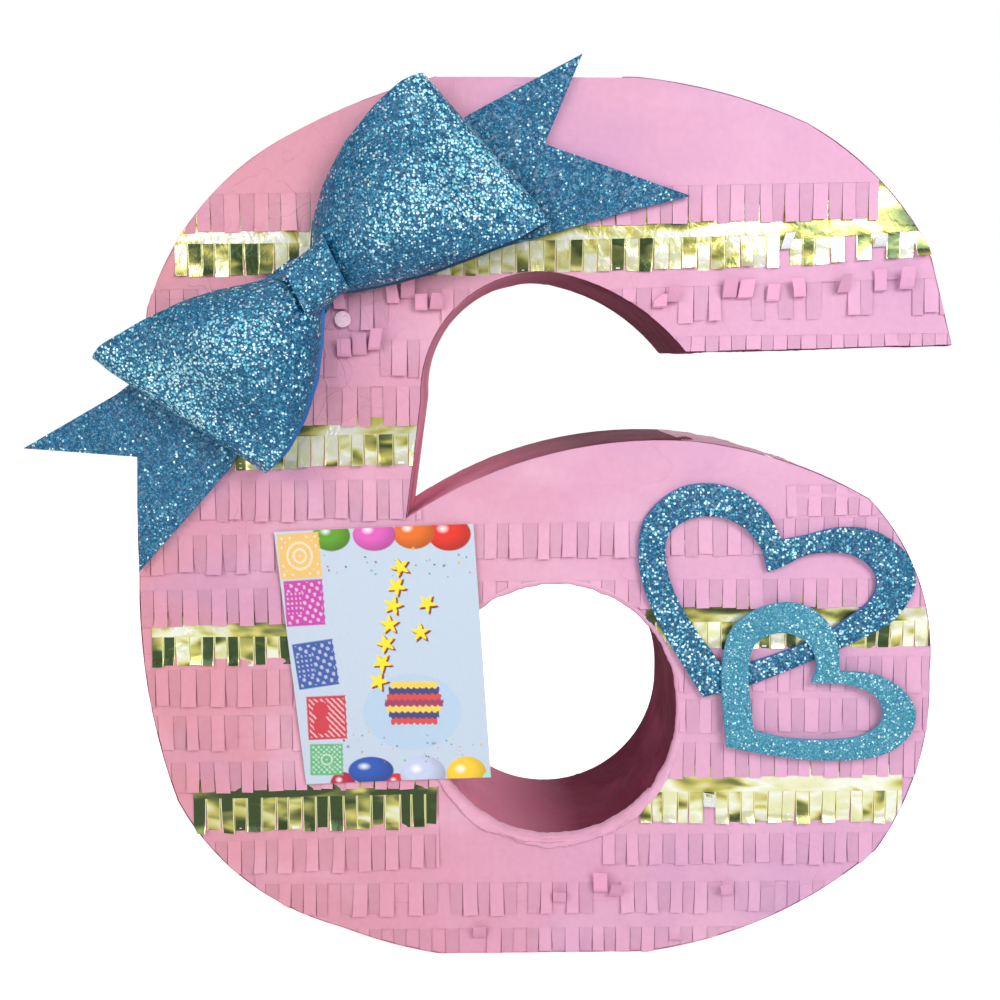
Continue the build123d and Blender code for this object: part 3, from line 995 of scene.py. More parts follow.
@dataclass
class FringeCoat:
    """All the fringe on the front, cut from the shape of the numeral's face."""

    shop: Workshop
    pattern: FacePattern
    paper: float = 0.15
    band_pitch: float = 5.0
    seed: int = 6
    off_face: float = 0.1  # from the numeral's paper to a band or tab that lies flat
    painted_glint_width: float = 0.5  # width of the painted highlight along each side of a foil tab
    full_room: float = 5.0
    tight_room: float = 1.0
    span: tuple[float, float] = (-200.0, 205.0)  # where along x a tab may fold up

    def build(self) -> None:
        """Makes and mounts every row, and the plain sheet on the bowl's top."""
        for number, row in enumerate(FRINGE_ROWS):
            luck = random.Random(self.seed * 100 + number)
            whole = bmesh.new()
            marks(whole)
            for part in row.parts:
                if part.band:
                    self.lay_band(whole, part, row.foil, luck)
                if part.tabs:
                    self.hang_tabs(whole, part, row.foil, luck)
            kind, slot, back = "crepe", "pink_crepe", "crepe_under"
            if row.foil:
                kind, slot, back = "foil", "gold_foil", "foil_back"
            self.shop.mount(f"{kind}_row_{number:02d}", whole, [slot, back], slot, [row.node])
        self.lay_bowl_sheet()

    def lay_band(self, whole: Sheet, part: Fringe, foil: bool, luck: random.Random) -> None:
        """Lays the plain band of a stretch, over the row below and under the row above.

        Args:
            whole: the row's sheet.
            part: the stretch.
            foil: whether the row is foil.
            luck: its random draws.
        """
        x, z = part.left, part.bottom_left + part.slit
        sheet = self.pattern.sheet(
            (part.left, 0, -1, 0), (part.right, 0, 1, 0), (x, z, part.slope, -1), (0, part.top, 0, 1)
        )
        rule(sheet, PLAIN_CELL if part is FRINGE_ROWS[0].parts[0] else self.band_pitch)
        seed = luck.random() * 50
        # Painted reflection: a foil band's shade mark is its row's reflection level.
        shade_faces(sheet, repeat(part.painted_reflection if foil else 0.0))
        for v in sheet.verts:
            above = v.co.z - z - (v.co.x - x) * part.slope
            swell = 1 + rumple(v.co.x * 0.03, v.co.z * 0.06, seed)
            lift = 0.1 * swell + 0.1 * crease(v.co.x * 0.02, v.co.z * 0.035, seed + 3)
            lift *= 1 + 5.5 * smooth(15, 40, above)
            v.co.y = FRONT - 0.08 - lift - (part.proud - self.off_face) * smooth(11, 2, above)
        thicken(sheet, self.paper)
        join(whole, sheet)

    def room(self, x: float, z: float) -> float:
        """Finds how far a tab may stand off the face.

        Args:
            x: the tab's middle.
            z: the tab's middle.

        Returns:
            The room under whatever is mounted over it.
        """
        card = -158 < x < -26 and 102 < z < 264
        hearts = 48 < x < 226 and 110 < z < 292
        lower_tail = x < -165 and z > 225 + 0.9 * (x + 235)
        upper_tail = -140 < x < 90 and z > 395 + 0.12 * (x + 80)
        return self.tight_room if card or hearts or lower_tail or upper_tail else self.full_room

    def hang_tabs(self, whole: Sheet, part: Fringe, foil: bool, luck: random.Random) -> None:
        """Hangs the cut tabs of a stretch.

        Args:
            whole: the row's sheet.
            part: the stretch.
            foil: whether the row is foil.
            luck: its random draws.
        """
        x0, z0, slope = part.left, part.bottom_left, part.slope
        sheet = self.pattern.sheet(
            (x0, 0, -1, 0), (part.right, 0, 1, 0), (x0, z0, slope, -1), (x0, z0 + part.slit, -slope, 1)
        )
        slits = [part.left - 1.0]
        while slits[-1] < part.right:
            slits.append(slits[-1] + part.tab * luck.uniform(0.86, 1.14))
        for x in slits:
            for step in (0.0, self.painted_glint_width, -self.painted_glint_width) if foil else (0.0,):
                cut(sheet, x + step, 0, 1, 0)
        steps = 7 if part.mood in (Mood.NEAT, Mood.TIDY_FOIL) else 12
        for k in range(1, steps):
            cut(sheet, x0, z0 + part.slit * k / steps, -slope, 1)
        ends = [(e, e.verts[0].co.x, e.verts[1].co.x) for e in sheet.edges]
        on_slit = [e for e, a, b in ends if min(abs(a - x) + abs(b - x) for x in slits) < ON_LINE]
        bmesh.ops.split_edges(sheet, edges=on_slit)
        layers = marks(sheet)
        tabs: dict[int, Tab] = {}
        for face in sheet.faces:
            i = int(np.searchsorted(slits, face.calc_center_median().x)) - 1
            tabs.setdefault(i, Tab([], slits[i], slits[i + 1], i % 2 == 0)).faces.append(face)
        kept = {i: self.bend_tab(part, foil, luck, tab, layers) for i, tab in tabs.items()}
        waste = [face for i, tab in tabs.items() if not kept[i] for face in tab.faces]
        bmesh.ops.delete(sheet, geom=waste, context="FACES")
        thicken(sheet, self.paper, back=1)
        join(whole, sheet)

    def bend_tab(self, part: Fringe, foil: bool, luck: random.Random, tab: Tab, layers: tuple) -> bool:
        """Bends one tab to the way it hangs.

        Args:
            part: the stretch that it belongs to.
            foil: whether it is foil.
            luck: the stretch's random draws.
            tab: the flat tab.
            layers: the sheet's marks.

        Returns:
            False where the tab is missing.
        """
        middle, half, slit = tab.middle, tab.width / 2, part.slit
        folded, missing = part.mood.value
        fate = luck.random()
        room = self.room(middle, part.bottom(middle) + slit - slit / 2)
        lean = luck.uniform(0.12, 0.26) if tab.raised else luck.uniform(0.02, 0.06)
        lean *= 1.4 if foil else 1.0
        fold_at, fold, bend = 2.0, 0.0, 0.1
        xs = [v.co.x for face in tab.faces for v in face.verts]
        uncut = max(xs) - min(xs) > 0.8 * tab.width
        free = uncut and room > 2 and self.span[0] < middle < self.span[1]
        if free and fate < missing:
            return False
        if free and fate < missing + folded:
            fold_at, fold, bend = luck.uniform(0.16, 0.5), luck.uniform(2.3, 3.0), luck.uniform(0.1, 0.26)
            lean = luck.uniform(0.12, 0.4)
        elif fate < missing + 1.6 * folded:
            lean *= luck.uniform(1.5, 2.6)
        lean = min(lean, 2 * room / slit)
        s = np.linspace(0, 1.06, 40)
        angle = lean * s + fold * np.clip((s - fold_at) / bend, 0, 1)
        if foil:
            angle = angle + 0.22 * np.sin(s * 6 + luck.random() * 3) * s
        length = luck.uniform(0.95, 1.04)
        down = np.concatenate([[0], np.cumsum(np.cos(angle[:-1]) * np.diff(s))]) * slit * length
        out = np.concatenate([[0], np.cumsum(np.sin(angle[:-1]) * np.diff(s))]) * slit
        twist, sway = luck.gauss(0, 0.08), luck.gauss(0, 0.35)
        if fold:
            twist, sway = luck.gauss(0, 0.3), luck.gauss(0, 1.3)
        gap = luck.uniform(0.02, 0.05) + (0.0 if tab.raised else 0.05)
        curl = luck.uniform(0.05, 0.25) * (1.6 if foil and room > 2 else 1.0)
        # Painted shade: recessed crepe tabs are darker and raised ones lighter; a foil tab shifts its painted
        # reflection bands.
        painted_light_tone = -0.09 + luck.uniform(-0.025, 0.025)
        if foil:
            painted_light_tone = part.painted_reflection + luck.choice((-0.55, -0.4, -0.1, 0.1, 0.3, 0.4)) + luck.uniform(-0.08, 0.08)
        elif tab.raised:
            painted_light_tone = 0.04 + luck.uniform(-0.02, 0.02)
        shade, edge = layers
        # Painted highlight: faces along the two sides of a foil tab get the edge mark.
        for face in tab.faces:
            outer = abs(face.calc_center_median().x - middle) > half - self.painted_glint_width - 0.05
            for loop in face.loops:
                loop[shade], loop[edge] = painted_light_tone, 1.0 if foil and outer else 0.0
        for v in {v for face in tab.faces for v in face.verts}:
            t = (part.bottom(v.co.x) + slit - v.co.z) / slit
            side = (v.co.x - middle) / half
            v.co.z -= np.interp(t, s, down) - t * slit
            push = np.interp(t, s, out) + twist * side * half * t * t - curl * side * side * t
            v.co.x = middle + (v.co.x - middle) * (1 - gap * (0.4 + 0.9 * t)) + sway * t * t
            v.co.y = FRONT - part.proud + self.off_face - max(-0.15, push)
        return True

    def lay_bowl_sheet(self) -> None:
        """Lays the plain sheet over the bowl's top, down to the first slits, with a few tabs at its right."""
        first = FRINGE_ROWS[7].parts[1]
        sheet = self.pattern.sheet(
            (first.left, first.bottom_left + first.slit, first.slope, -1), (-79, 263, -1, 0.93), (0, 330, 0, 1)
        )
        rule(sheet, PLAIN_CELL)
        marks(sheet)
        for v in sheet.verts:
            swell = 0.4 * (1 + rumple(v.co.x * 0.02, v.co.z * 0.07, 4))
            lift = swell + 1.0 * crease(v.co.x * 0.012, v.co.z * 0.05, 9)
            v.co.y = FRONT - 0.3 - lift * smooth(255, 275, v.co.z) - 0.4 * smooth(275, 262, v.co.z)
        thicken(sheet, self.paper)
        whole = bmesh.new()
        marks(whole)
        join(whole, sheet)
        few = Fringe(140, 215, 263.5, 264.5, 18, 290, proud=1.2)
        self.hang_tabs(whole, few, False, random.Random(31))
        self.shop.mount("bowl_top_sheet", whole, ["pink_crepe", "crepe_under"], "pink_crepe", ["bowl_sheet"])


# ---------------------------------------------------------------- paper round the edge
@dataclass(frozen=True)
class Ply:
    """One torn ply of the paper folded over the hole's rim, by its place round the hole in degrees."""

    start: float
    end: float
    spread: float
    proud: float
    seed: int


PLIES = (
    Ply(0, 360, 0.5, 0.2, 3), Ply(206, 356, 1.5, 0.8, 5), Ply(198, 292, 3.0, 1.3, 8),
    Ply(258, 340, 2.4, 1.6, 13), Ply(232, 318, 1.0, 2.1, 17),
)
STRETCHES = ("base", "bowl_side", "bowl_top", "notch", "arm_end", "arm_side", "shoulder", "left_side")
# Wrap pieces that take the recess paper, whose colour carries painted shade.
SHADE_PAINTED_RECESSES = ("hole_paper", "notch_paper", "arm_end_paper", "bowl_top_paper")


@dataclass
class EdgeWrap:
    """Strips of crepe paper round the cardboard edge and through the bowl's hole."""

    shop: Workshop
    outer: Edge
    inner: Edge
    paper: float = 0.2
    row_pitch: float = 3.4
    overlap: int = 3

    def build(self) -> None:
        """Makes and mounts the strips, the lining and the folded rims."""
        for number, stretch in enumerate(STRETCHES):
            node, over = f"{stretch}_paper", number % 2
            first, last = self.outer.span(self.shop.nodes[node])
            places = range(first - self.overlap * over, last + self.overlap * over + 1)
            self.strip(f"{stretch}_wrap", self.outer, places, 0.3 + 0.28 * over, node, number)
        places = range(len(self.inner.points))
        self.strip("hole_lining", self.inner, places, 0.45, "hole_paper", 11, closed=True)
        self.fold_rims()

    def strip(
        self, name: str, edge: Edge, places: range, proud: float, node: str, seed: int, closed: bool = False
    ) -> None:
        """Wraps one strip round part of an edge.

        Args:
            name: the piece's name.
            edge: the edge that it follows.
            places: numbers of the edge's points.
            proud: how far it lies off the cardboard.
            node: the CAD sheet that it stands for.
            seed: chooses its wrinkles.
            closed: whether it goes all the way round.
        """
        count = len(edge.points)
        front, back = FRONT - 0.5, BACK + 0.3
        depth = np.linspace(front, back, round((back - front) / self.row_pitch))
        rows = []
        for i in places:
            p, out, run = edge.points[i % count], edge.out[i % count], edge.at[i % count]
            row = []
            for y in depth:
                hold = smooth(50.6, 46.0, abs(y))
                soft = 1 + rumple(run * 0.03, y * 0.015, seed)
                long_fold = crease(run * 0.045 + y * 0.012, y * 0.012, seed + 2, 5)
                fold = long_fold + crease(run * 0.09, y * 0.02, seed + 5, 8) * 0.6
                patch = smooth(-0.3, 0.5, rumple(run * 0.011, y * 0.01, seed + 8))
                slack = 1.0 + (1.2 * smooth(150, 95, p[1]) if closed else 0.0)
                lift = proud + hold * (0.22 * soft + 0.75 * fold * patch) * slack
                wave = 0.25 * rumple(run * 0.08, 0, seed + 1) if abs(y) > 50 else 0.0
                row.append((p[0] + out[0] * lift, y + wave, max(0.0, p[1] + out[1] * lift)))
            rows.append(row)
        sheet = lattice(np.array(rows), closed)
        bmesh.ops.reverse_faces(sheet, faces=sheet.faces)
        thicken(sheet, self.paper)
        if name == "base_wrap":
            for v in sheet.verts:
                v.co.z = max(0.0, v.co.z)
        # Painted shade: the pieces in the hole, notch, arm end and bowl top take the dark recess paper.
        finish = "painted_shade_recess_paper" if node in SHADE_PAINTED_RECESSES else "wrap_paper"
        self.shop.mount(name, sheet, [finish], "pink_wrap_paper", [node], crisp=70)

    def fold_rims(self) -> None:
        """Turns the lining's loose edges over the hole's front rim, most at its foot."""
        edge = self.inner
        whole = bmesh.new()
        marks(whole)
        arms = edge.points - edge.points.mean(axis=0)
        turns = [math.degrees(math.atan2(z, x)) % 360 for x, z in arms]
        order = sorted(range(len(turns)), key=lambda i: -turns[i])
        for ply in PLIES:
            ring = ply.end >= 360
            rows = []
            for i in order:
                p, out, at, turn = edge.points[i], edge.out[i], edge.at[i], turns[i]
                if not ply.start <= turn <= ply.end:
                    continue
                fade = smooth(ply.start - 1, ply.start + 14, turn) * smooth(ply.end + 1, ply.end - 14, turn)
                fade = 1.0 if ring else fade
                ragged = 0.7 * rumple(at * 0.07, 1, ply.seed) + 0.4 * rumple(at * 0.3, 2, ply.seed)
                uneven = 0.8 * rumple(at * 0.09, 6, ply.seed) + 0.4 * rumple(at * 0.35, 7, ply.seed)
                reach = ply.spread * fade * (1 + ragged)
                roll = ply.proud * (1 + 0.6 * rumple(at * 0.1, 4, ply.seed)) * fade
                into = 0.8 + 1.4 * fade * (1 + uneven)
                outline = (
                    (-reach - 0.3, FRONT - 0.5 - 1.0 * roll),
                    (-0.6 * reach, FRONT - 0.6 - 1.15 * roll),
                    (-0.2 * reach, FRONT - 0.6 - 1.0 * roll),
                    (0.6 * into, FRONT - 0.4 - 0.6 * roll),
                    (into, FRONT + 0.8),
                    (0.8 * into, FRONT + 3.0 + 2 * fade),
                )
                rows.append([(p[0] + out[0] * a, y, p[1] + out[1] * a) for a, y in outline])
            sheet = lattice(np.array(rows), closed=ring)
            bmesh.ops.reverse_faces(sheet, faces=sheet.faces)
            # Painted light: the folded plies are made 6% lighter than the same crepe.
            shade_faces(sheet, repeat(0.06))
            thicken(sheet, self.paper)
            join(whole, sheet)
        self.shop.mount("hole_rim_folds", whole, ["pink_crepe"], "pink_wrap_paper", ["hole_rim_fold"], crisp=70)


# ---------------------------------------------------------------- back and door
@dataclass
class BackCover:
    """Paper on the back, and the filling door's paper, tape hinge and pull tab."""

    shop: Workshop
    paper: float = 0.25
    pitch: float = 6.0
    hinge_height: float = 374.0
    hinge_bend: float = 3.0  # height of the part of the tape that bends

    def build(self) -> None:
        """Makes and mounts the back's pieces."""
        self.cover("back_sheet", "back_paper", "root", 0.7)
        self.cover("door_sheet", "fill_door_paper", "fill_door", 0.25)
        self.tape_hinge()
        self.pull_tab()

    def cover(self, name: str, node: str, body: str, swell: float) -> None:
        """Lays a creased sheet over a CAD one.

        Args:
            name: the piece's name.
            node: the CAD sheet.
            body: the body that it rides on.
            swell: how far its creases stand up.
        """
        sheet = FacePattern(self.shop.nodes[node], Side.BACK).sheet()
        rule(sheet, self.pitch)
        low, high = (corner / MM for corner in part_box("fill_door"))
        for v in sheet.verts:
            x, z = v.co.x, v.co.z
            from_door = max(low.x - x, x - high.x, low.z - z, z - high.z)
            calm = smooth(14, 34, from_door) if body == "root" else 0.0
            lift = 0.3 * (1 + rumple(x * 0.016, z * 0.016, 21))
            lift += 1.0 * crease(x * 0.009 + z * 0.004, z * 0.007, 23, 9)
            lift += 0.6 * crease(x * 0.02, z * 0.011, 27, 9)
            v.co.y = BACK + swell * lift * calm
        thicken(sheet, self.paper)
        self.shop.mount(name, sheet, ["wrap_paper"], "pink_wrap_paper", [node], body, crisp=70)

    def tape_hinge(self) -> None:
        """Sticks the tape across the hinge, so that it bends as the door opens."""
        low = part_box("door_tape_lower")[0] / MM
        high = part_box("door_tape_upper")[1] / MM
        columns, rows = 25, 21
        grid = np.zeros((rows, columns, 3))
        for i, z in enumerate(np.linspace(low.z, high.z, rows)):
            for j, x in enumerate(np.linspace(low.x, high.x, columns)):
                tear = 0.9 * rumple(z * 0.6, j, 3) if j in (0, columns - 1) else 0.0
                grid[i, j] = (x + tear, BACK + 0.3 + 0.12 * (1 + rumple(x * 0.15, z * 0.15, 8)), z)
        sheet = lattice(grid)
        thicken(sheet, 0.2)
        halves = ["door_tape_upper", "door_tape_lower"]
        tape = self.shop.mount("door_hinge_tape", sheet, ["masking_tape"], "masking_tape", halves, body="")
        x, y, z, half = (low.x + high.x) / 2 * MM, BACK * MM, self.hinge_height * MM, self.hinge_bend / 2 * MM
        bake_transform(tape, "root", "fill_door", start=(x, y, z + half), end=(x, y, z - half))

    def pull_tab(self) -> None:
        """Glues the ribbon pull tab to the door, with its free end curling off."""
        low, high = (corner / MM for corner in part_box("door_pull_tab"))
        rows, columns = 25, 9
        grid = np.zeros((rows, columns, 3))
        for i in range(rows):
            t = i / (rows - 1)
            z = high.z + (low.z - high.z) * t
            for j in range(columns):
                side = j / (columns - 1) * 2 - 1
                notch = 3.5 * (1 - abs(side)) * smooth(0.8, 1.0, t)
                off = 0.5 + 3.0 * smooth(0.5, 1.0, t) ** 1.5 + 0.15 * math.cos(side * 2)
                grid[i, j] = ((low.x + high.x) / 2 + side * (high.x - low.x) / 2, BACK + off, z + notch)
        sheet = lattice(grid)
        bmesh.ops.reverse_faces(sheet, faces=sheet.faces)
        thicken(sheet, 0.4)
        ribbon = "pull_ribbon"
        self.shop.mount("door_ribbon_tab", sheet, [ribbon], ribbon, ["door_pull_tab"], "fill_door")


# ---------------------------------------------------------------- foam bow
@dataclass(frozen=True)
class LoopShape:
    """Outline of one bow loop seen from the front, as reach from the knot and width each side of its axis."""

    name: str
    node: str
    angle: float
    near_side: tuple[Point, ...]
    far_side: tuple[Point, ...]
    edge: str


# The upper loop's cut edge takes darker foam: painted shade.
UPPER_LOOP = LoopShape(
    "bow_upper_loop_sheet", "bow_upper_loop", 36.5,
    ((6, 14), (17, 27), (33.7, 38), (56, 47.3), (80.5, 53), (98, 54.3), (113, 51.5)),
    ((6, 13), (10.6, 16.3), (30.5, 26), (51, 34.5), (73, 41), (100, 48.6), (122.5, 51)), "painted_shade_blue_foam",
)
LOWER_LOOP = LoopShape(
    "bow_lower_loop_sheet", "bow_lower_loop", 224.5,
    ((6, 11), (10, 12.5), (23, 25), (40, 38.5), (60, 49), (80.7, 55), (98, 55)),
    ((6, 12), (24.6, 21.5), (43, 33), (61, 41.6), (84, 49.4), (108.5, 55.6), (121, 55)), "blue_foam",
)


class LoopPart(Enum):
    """Which part of a folded loop is meant, on the way out from the knot and back."""

    FRONT = "front"
    FOLD = "fold"
    BACK = "back"


@dataclass
class FoamBow:
    """Glitter foam bow: two folded loops, a knot band and two notched tails."""

    shop: Workshop
    middle: Point = (-125.0, 398.0)
    seat: float = -55.5  # the loops' backs
    foam: float = 2.0
    full_depth: float = 43.5
    fold_depth: float = 21.0
    edge_depth: float = 19.0
    knot_length: float = 27.0
    knot_half: float = 14.6
    knot_depth: float = 25.0
    pinch: float = 6.0  # reach at which the loops come out of the knot
    far_rounding: float = 1.2  # how much the far corner of a loop's end is taken off
    tail_foam: float = 2.5
    tail_front: float = -55.1

    def build(self) -> None:
        """Makes and mounts the bow's pieces."""
        self.tail("bow_upper_tail_sheet", "bow_upper_tail", (
            (-128, 414), (-90, 452), (-41.8, 487.3), (20.1, 519.6), (-0.4, 471.5), (80.6, 443.8),
            (44.4, 434.9), (-2.9, 421.6), (-58.6, 405.3), (-112, 396)))
        self.tail("bow_lower_tail_sheet", "bow_lower_tail", (
            (-140, 410), (-239.6, 334.5), (-292.7, 304.1), (-229.6, 299.1), (-230.6, 233.7), (-179.1, 291.1),
            (-118, 386)))
        self.loop(UPPER_LOOP)
        self.loop(LOWER_LOOP)
        self.knot()

    def place(self, angle: float, reach: float, side: float, depth: float) -> Place:
        """Turns a place on a loop or the knot into one on the pinata.

        Args:
            angle: direction of the axis in degrees.
            reach: how far out along the axis.
            side: step to the axis's left.
            depth: how far in front of the loops' backs.

        Returns:
            The point.
        """
        a = math.radians(angle)
        x = self.middle[0] + reach * math.cos(a) - side * math.sin(a)
        z = self.middle[1] + reach * math.sin(a) + side * math.cos(a)
        return (x, self.seat - depth, z)

    def section(self, part: LoopPart, t: float, side: float, end: float) -> Point:
        """Finds one point of a loop's lengthwise section.

        Args:
            part: the stretch that it is on.
            t: how far along the stretch, from 0 to 1, measured outward on the front and back.
            side: from -1 at one side of the loop to 1 at the other.
            end: reach of the loop's end.

        Returns:
            Its reach and depth.
        """
        fold, rim_depth, radius = self.fold_depth, self.edge_depth, self.fold_depth / 2
        if part is LoopPart.FOLD:
            bow = math.pi * t
            return end - radius + radius * math.sin(bow) * 0.9, radius + radius * math.cos(bow)
        reach = self.pinch + (end - radius - self.pinch) * t
        arch = (1 - side * side) ** 0.75
        if part is LoopPart.BACK:
            return reach, 0.2 + (3.5 * arch + 2) * (1 - t) ** 0.7
        rise = math.sin(math.pi * min(1.0, t / 0.84) * 0.5) ** 0.8
        dome = 12 + (self.full_depth - 12) * rise - (self.full_depth - fold) * smooth(0.5, 1.0, t) ** 1.15
        rim = 7 + (rim_depth - 7) * smooth(0, 0.55, t) + (fold - rim_depth) * smooth(0.5, 1, t)
        pleat = 2.2 * math.cos(side * 7.5 + 0.6) * (1 - t) ** 3
        return reach, rim + (dome - rim) * arch + pleat * arch

    def loop(self, shape: LoopShape) -> None:
        """Folds a sheet out from the knot, round at its end and back.

        Args:
            shape: the loop's outline.
        """
        near, far = np.array(shape.near_side), np.array(shape.far_side)
        sides = np.linspace(-1, 1, 37)
        stations = [(LoopPart.FRONT, t) for t in np.linspace(0, 1, 30)]
        stations += [(LoopPart.FOLD, t) for t in np.linspace(0, 1, 11)[1:-1]]
        stations += [(LoopPart.BACK, t) for t in np.linspace(1, 0, 20)]
        rows = []
        for side in sides:
            ends = near if side > 0 else far
            end = far[-1, 0] + (near[-1, 0] - far[-1, 0]) * (side + 1) / 2
            end -= self.far_rounding * (smooth(0.75, 1.0, abs(side)) if side < 0 else 0)
            row = []
            for part, t in stations:
                reach, depth = self.section(part, t, side, end)
                width = np.interp(reach, ends[:, 0], ends[:, 1])
                row.append(self.place(shape.angle, reach, side * width, depth))
            rows.append(row)
        sheet = lattice(np.array(rows))
        columns = len(stations) - 1
        # Painted highlight: each face's fleck cover follows the glint band.
        places = ((sides[n // columns], min(1.0, (n % columns) / 30)) for n in range(len(sheet.faces)))
        shade_faces(sheet, (self.painted_glint_band(side, t) for side, t in places))
        bmesh.ops.reverse_faces(sheet, faces=sheet.faces)
        thicken(sheet, self.foam, back=1, rim=1)
        self.shop.mount(shape.name, sheet, ["blue_glitter", shape.edge], "glitter_foam", [shape.node], crisp=50)

    @staticmethod
    def painted_glint_band(side: float, t: float) -> float:
        """Painted highlight: flecks lie thickest along a slanting band and at the loop's end."""
        band = math.exp(-(((side - 0.05 + 0.35 * t) / 0.42) ** 2)) * smooth(0.05, 0.4, t)
        return -0.3 + 0.72 * min(1.0, band + 0.5 * smooth(0.7, 1.0, t))

    def knot(self) -> None:
        """Bends the knot band round the loops' pinched ends."""
        turns, steps, angle, squareness = 72, 13, UPPER_LOOP.angle, 0.75
        rows = []
        for i in range(turns):
            a = 2 * math.pi * i / turns
            wide = math.copysign(abs(math.cos(a)) ** squareness, math.cos(a))
            deep = math.copysign(abs(math.sin(a)) ** squareness, math.sin(a))
            row = []
            for k in range(steps):
                along = (k / (steps - 1) - 0.5) * self.knot_length
                waist = (2 * along / self.knot_length) ** 2  # 0 at the middle, 1 at the band's two edges
                half = self.knot_half * (1 + 0.07 * waist) * wide
                depth = self.knot_depth / 2 * (1 + deep * (0.94 + 0.06 * waist))
                row.append(self.place(angle, along + 0.18 * half, half, max(0.1, depth)))
            rows.append(row)
        sheet = lattice(np.array(rows), closed=True)
        shade_faces(sheet, repeat(-0.2))
        sheet.normal_update()
        bmesh.ops.recalc_face_normals(sheet, faces=sheet.faces)
        thicken(sheet, self.foam, back=1, rim=1)
        finishes = ["blue_glitter", "pale_blue_foam"]
        self.shop.mount("bow_knot_band", sheet, finishes, "glitter_foam", ["bow_knot"], crisp=60)

    def tail(self, name: str, node: str, outline: Sequence[Point]) -> None:
        """Cuts a notched tail, whose free end lifts a little.

        Args:
            name: the piece's name.
            node: the CAD tail.
            outline: its corners.
        """
        sheet = bmesh.new()
        face = sheet.faces.new([sheet.verts.new((x, 0, z)) for x, z in outline])
        face.normal_update()
        if face.normal.y > 0:
            face.normal_flip()
        rule(sheet, 5.0)
        for v in sheet.verts:
            away = math.dist((v.co.x, v.co.z), self.middle)
            wave = 0.6 + 0.4 * math.sin(v.co.x * 0.03 + v.co.z * 0.02)
            v.co.y = self.tail_front - 3.0 * smooth(110, 210, away) * wave
        shade_faces(sheet, cloud_shades(sheet, -0.42, 0.14, 12))
        thicken(sheet, self.tail_foam, back=1, rim=1)
        self.shop.mount(name, sheet, ["blue_glitter", "blue_foam"], "glitter_foam", [node], crisp=50)


# ---------------------------------------------------------------- foam hearts
@dataclass(frozen=True)
class HeartOutline:
    """Outer and inner edges of an open heart, each from its dip round one lobe to its tip, and back."""

    outer_first: tuple[Point, ...]
    outer_second: tuple[Point, ...]
    inner_first: tuple[Point, ...]
    inner_second: tuple[Point, ...]


LARGE_HEART = HeartOutline(
    ((137.1, 250.8), (127.5, 267.7), (113, 278.8), (96.8, 283.2), (80.8, 281.8), (66.9, 273.7), (57, 260.6),
     (54.7, 242.3), (57.6, 223.9), (66.1, 203.3), (76.7, 184.6), (87.2, 167.8), (93.3, 158)),
    ((93.3, 158), (122.4, 165.6), (172.8, 186.4), (201, 200.9), (212.7, 215.4), (215.8, 227.8), (211.6, 240.1),
     (201, 250.3), (186.5, 256.9), (168.2, 257.5), (152.2, 253.5), (137.1, 250.8)),
    ((129.5, 232), (126, 244.3), (117.6, 255.5), (105.3, 262.7), (91.2, 264.3), (79.2, 260.6), (71.3, 252.5),
     (70.5, 238.2), (76, 219.8), (86.5, 201.1), (97.1, 186.6), (103.3, 177.8)),
    ((103.3, 177.8), (119.7, 178.2), (158.4, 192.3), (176.3, 204.1), (188.2, 213.4), (193, 222.7), (190.5, 233),
     (179, 241.2), (164.7, 243.2), (150.5, 241.2), (138.4, 235.1), (129.5, 232)),
)
SMALL_HEART = HeartOutline(
    ((172.4, 173.6), (170.8, 189.2), (165.2, 201.7), (154.8, 211), (140.4, 214.5), (124.3, 211), (110.3, 200.8),
     (104.6, 185.3), (103.7, 164.5), (105.7, 143.5), (107.4, 128.7)),
    ((107.4, 128.7), (130.9, 123.9), (155.7, 120.7), (182.6, 120.3), (201, 124), (213.1, 132.5), (218.3, 145.1),
     (214.1, 157.8), (201.3, 168.3), (186.8, 172.9), (172.4, 173.6)),
    ((156.2, 166.8), (158.9, 176.8), (155.6, 187.2), (147.2, 194.4), (136.9, 196.6), (126.8, 193.5), (120.9, 186.2),
     (119.2, 172.7), (120.7, 156), (123.2, 138.2)),
    ((123.2, 138.2), (142.9, 133.8), (163.5, 132.7), (182.1, 133.7), (194.2, 138.9), (199.1, 147.3), (194.5, 157.9),
     (183, 164.2), (170.6, 166.3), (156.2, 166.8)),
)


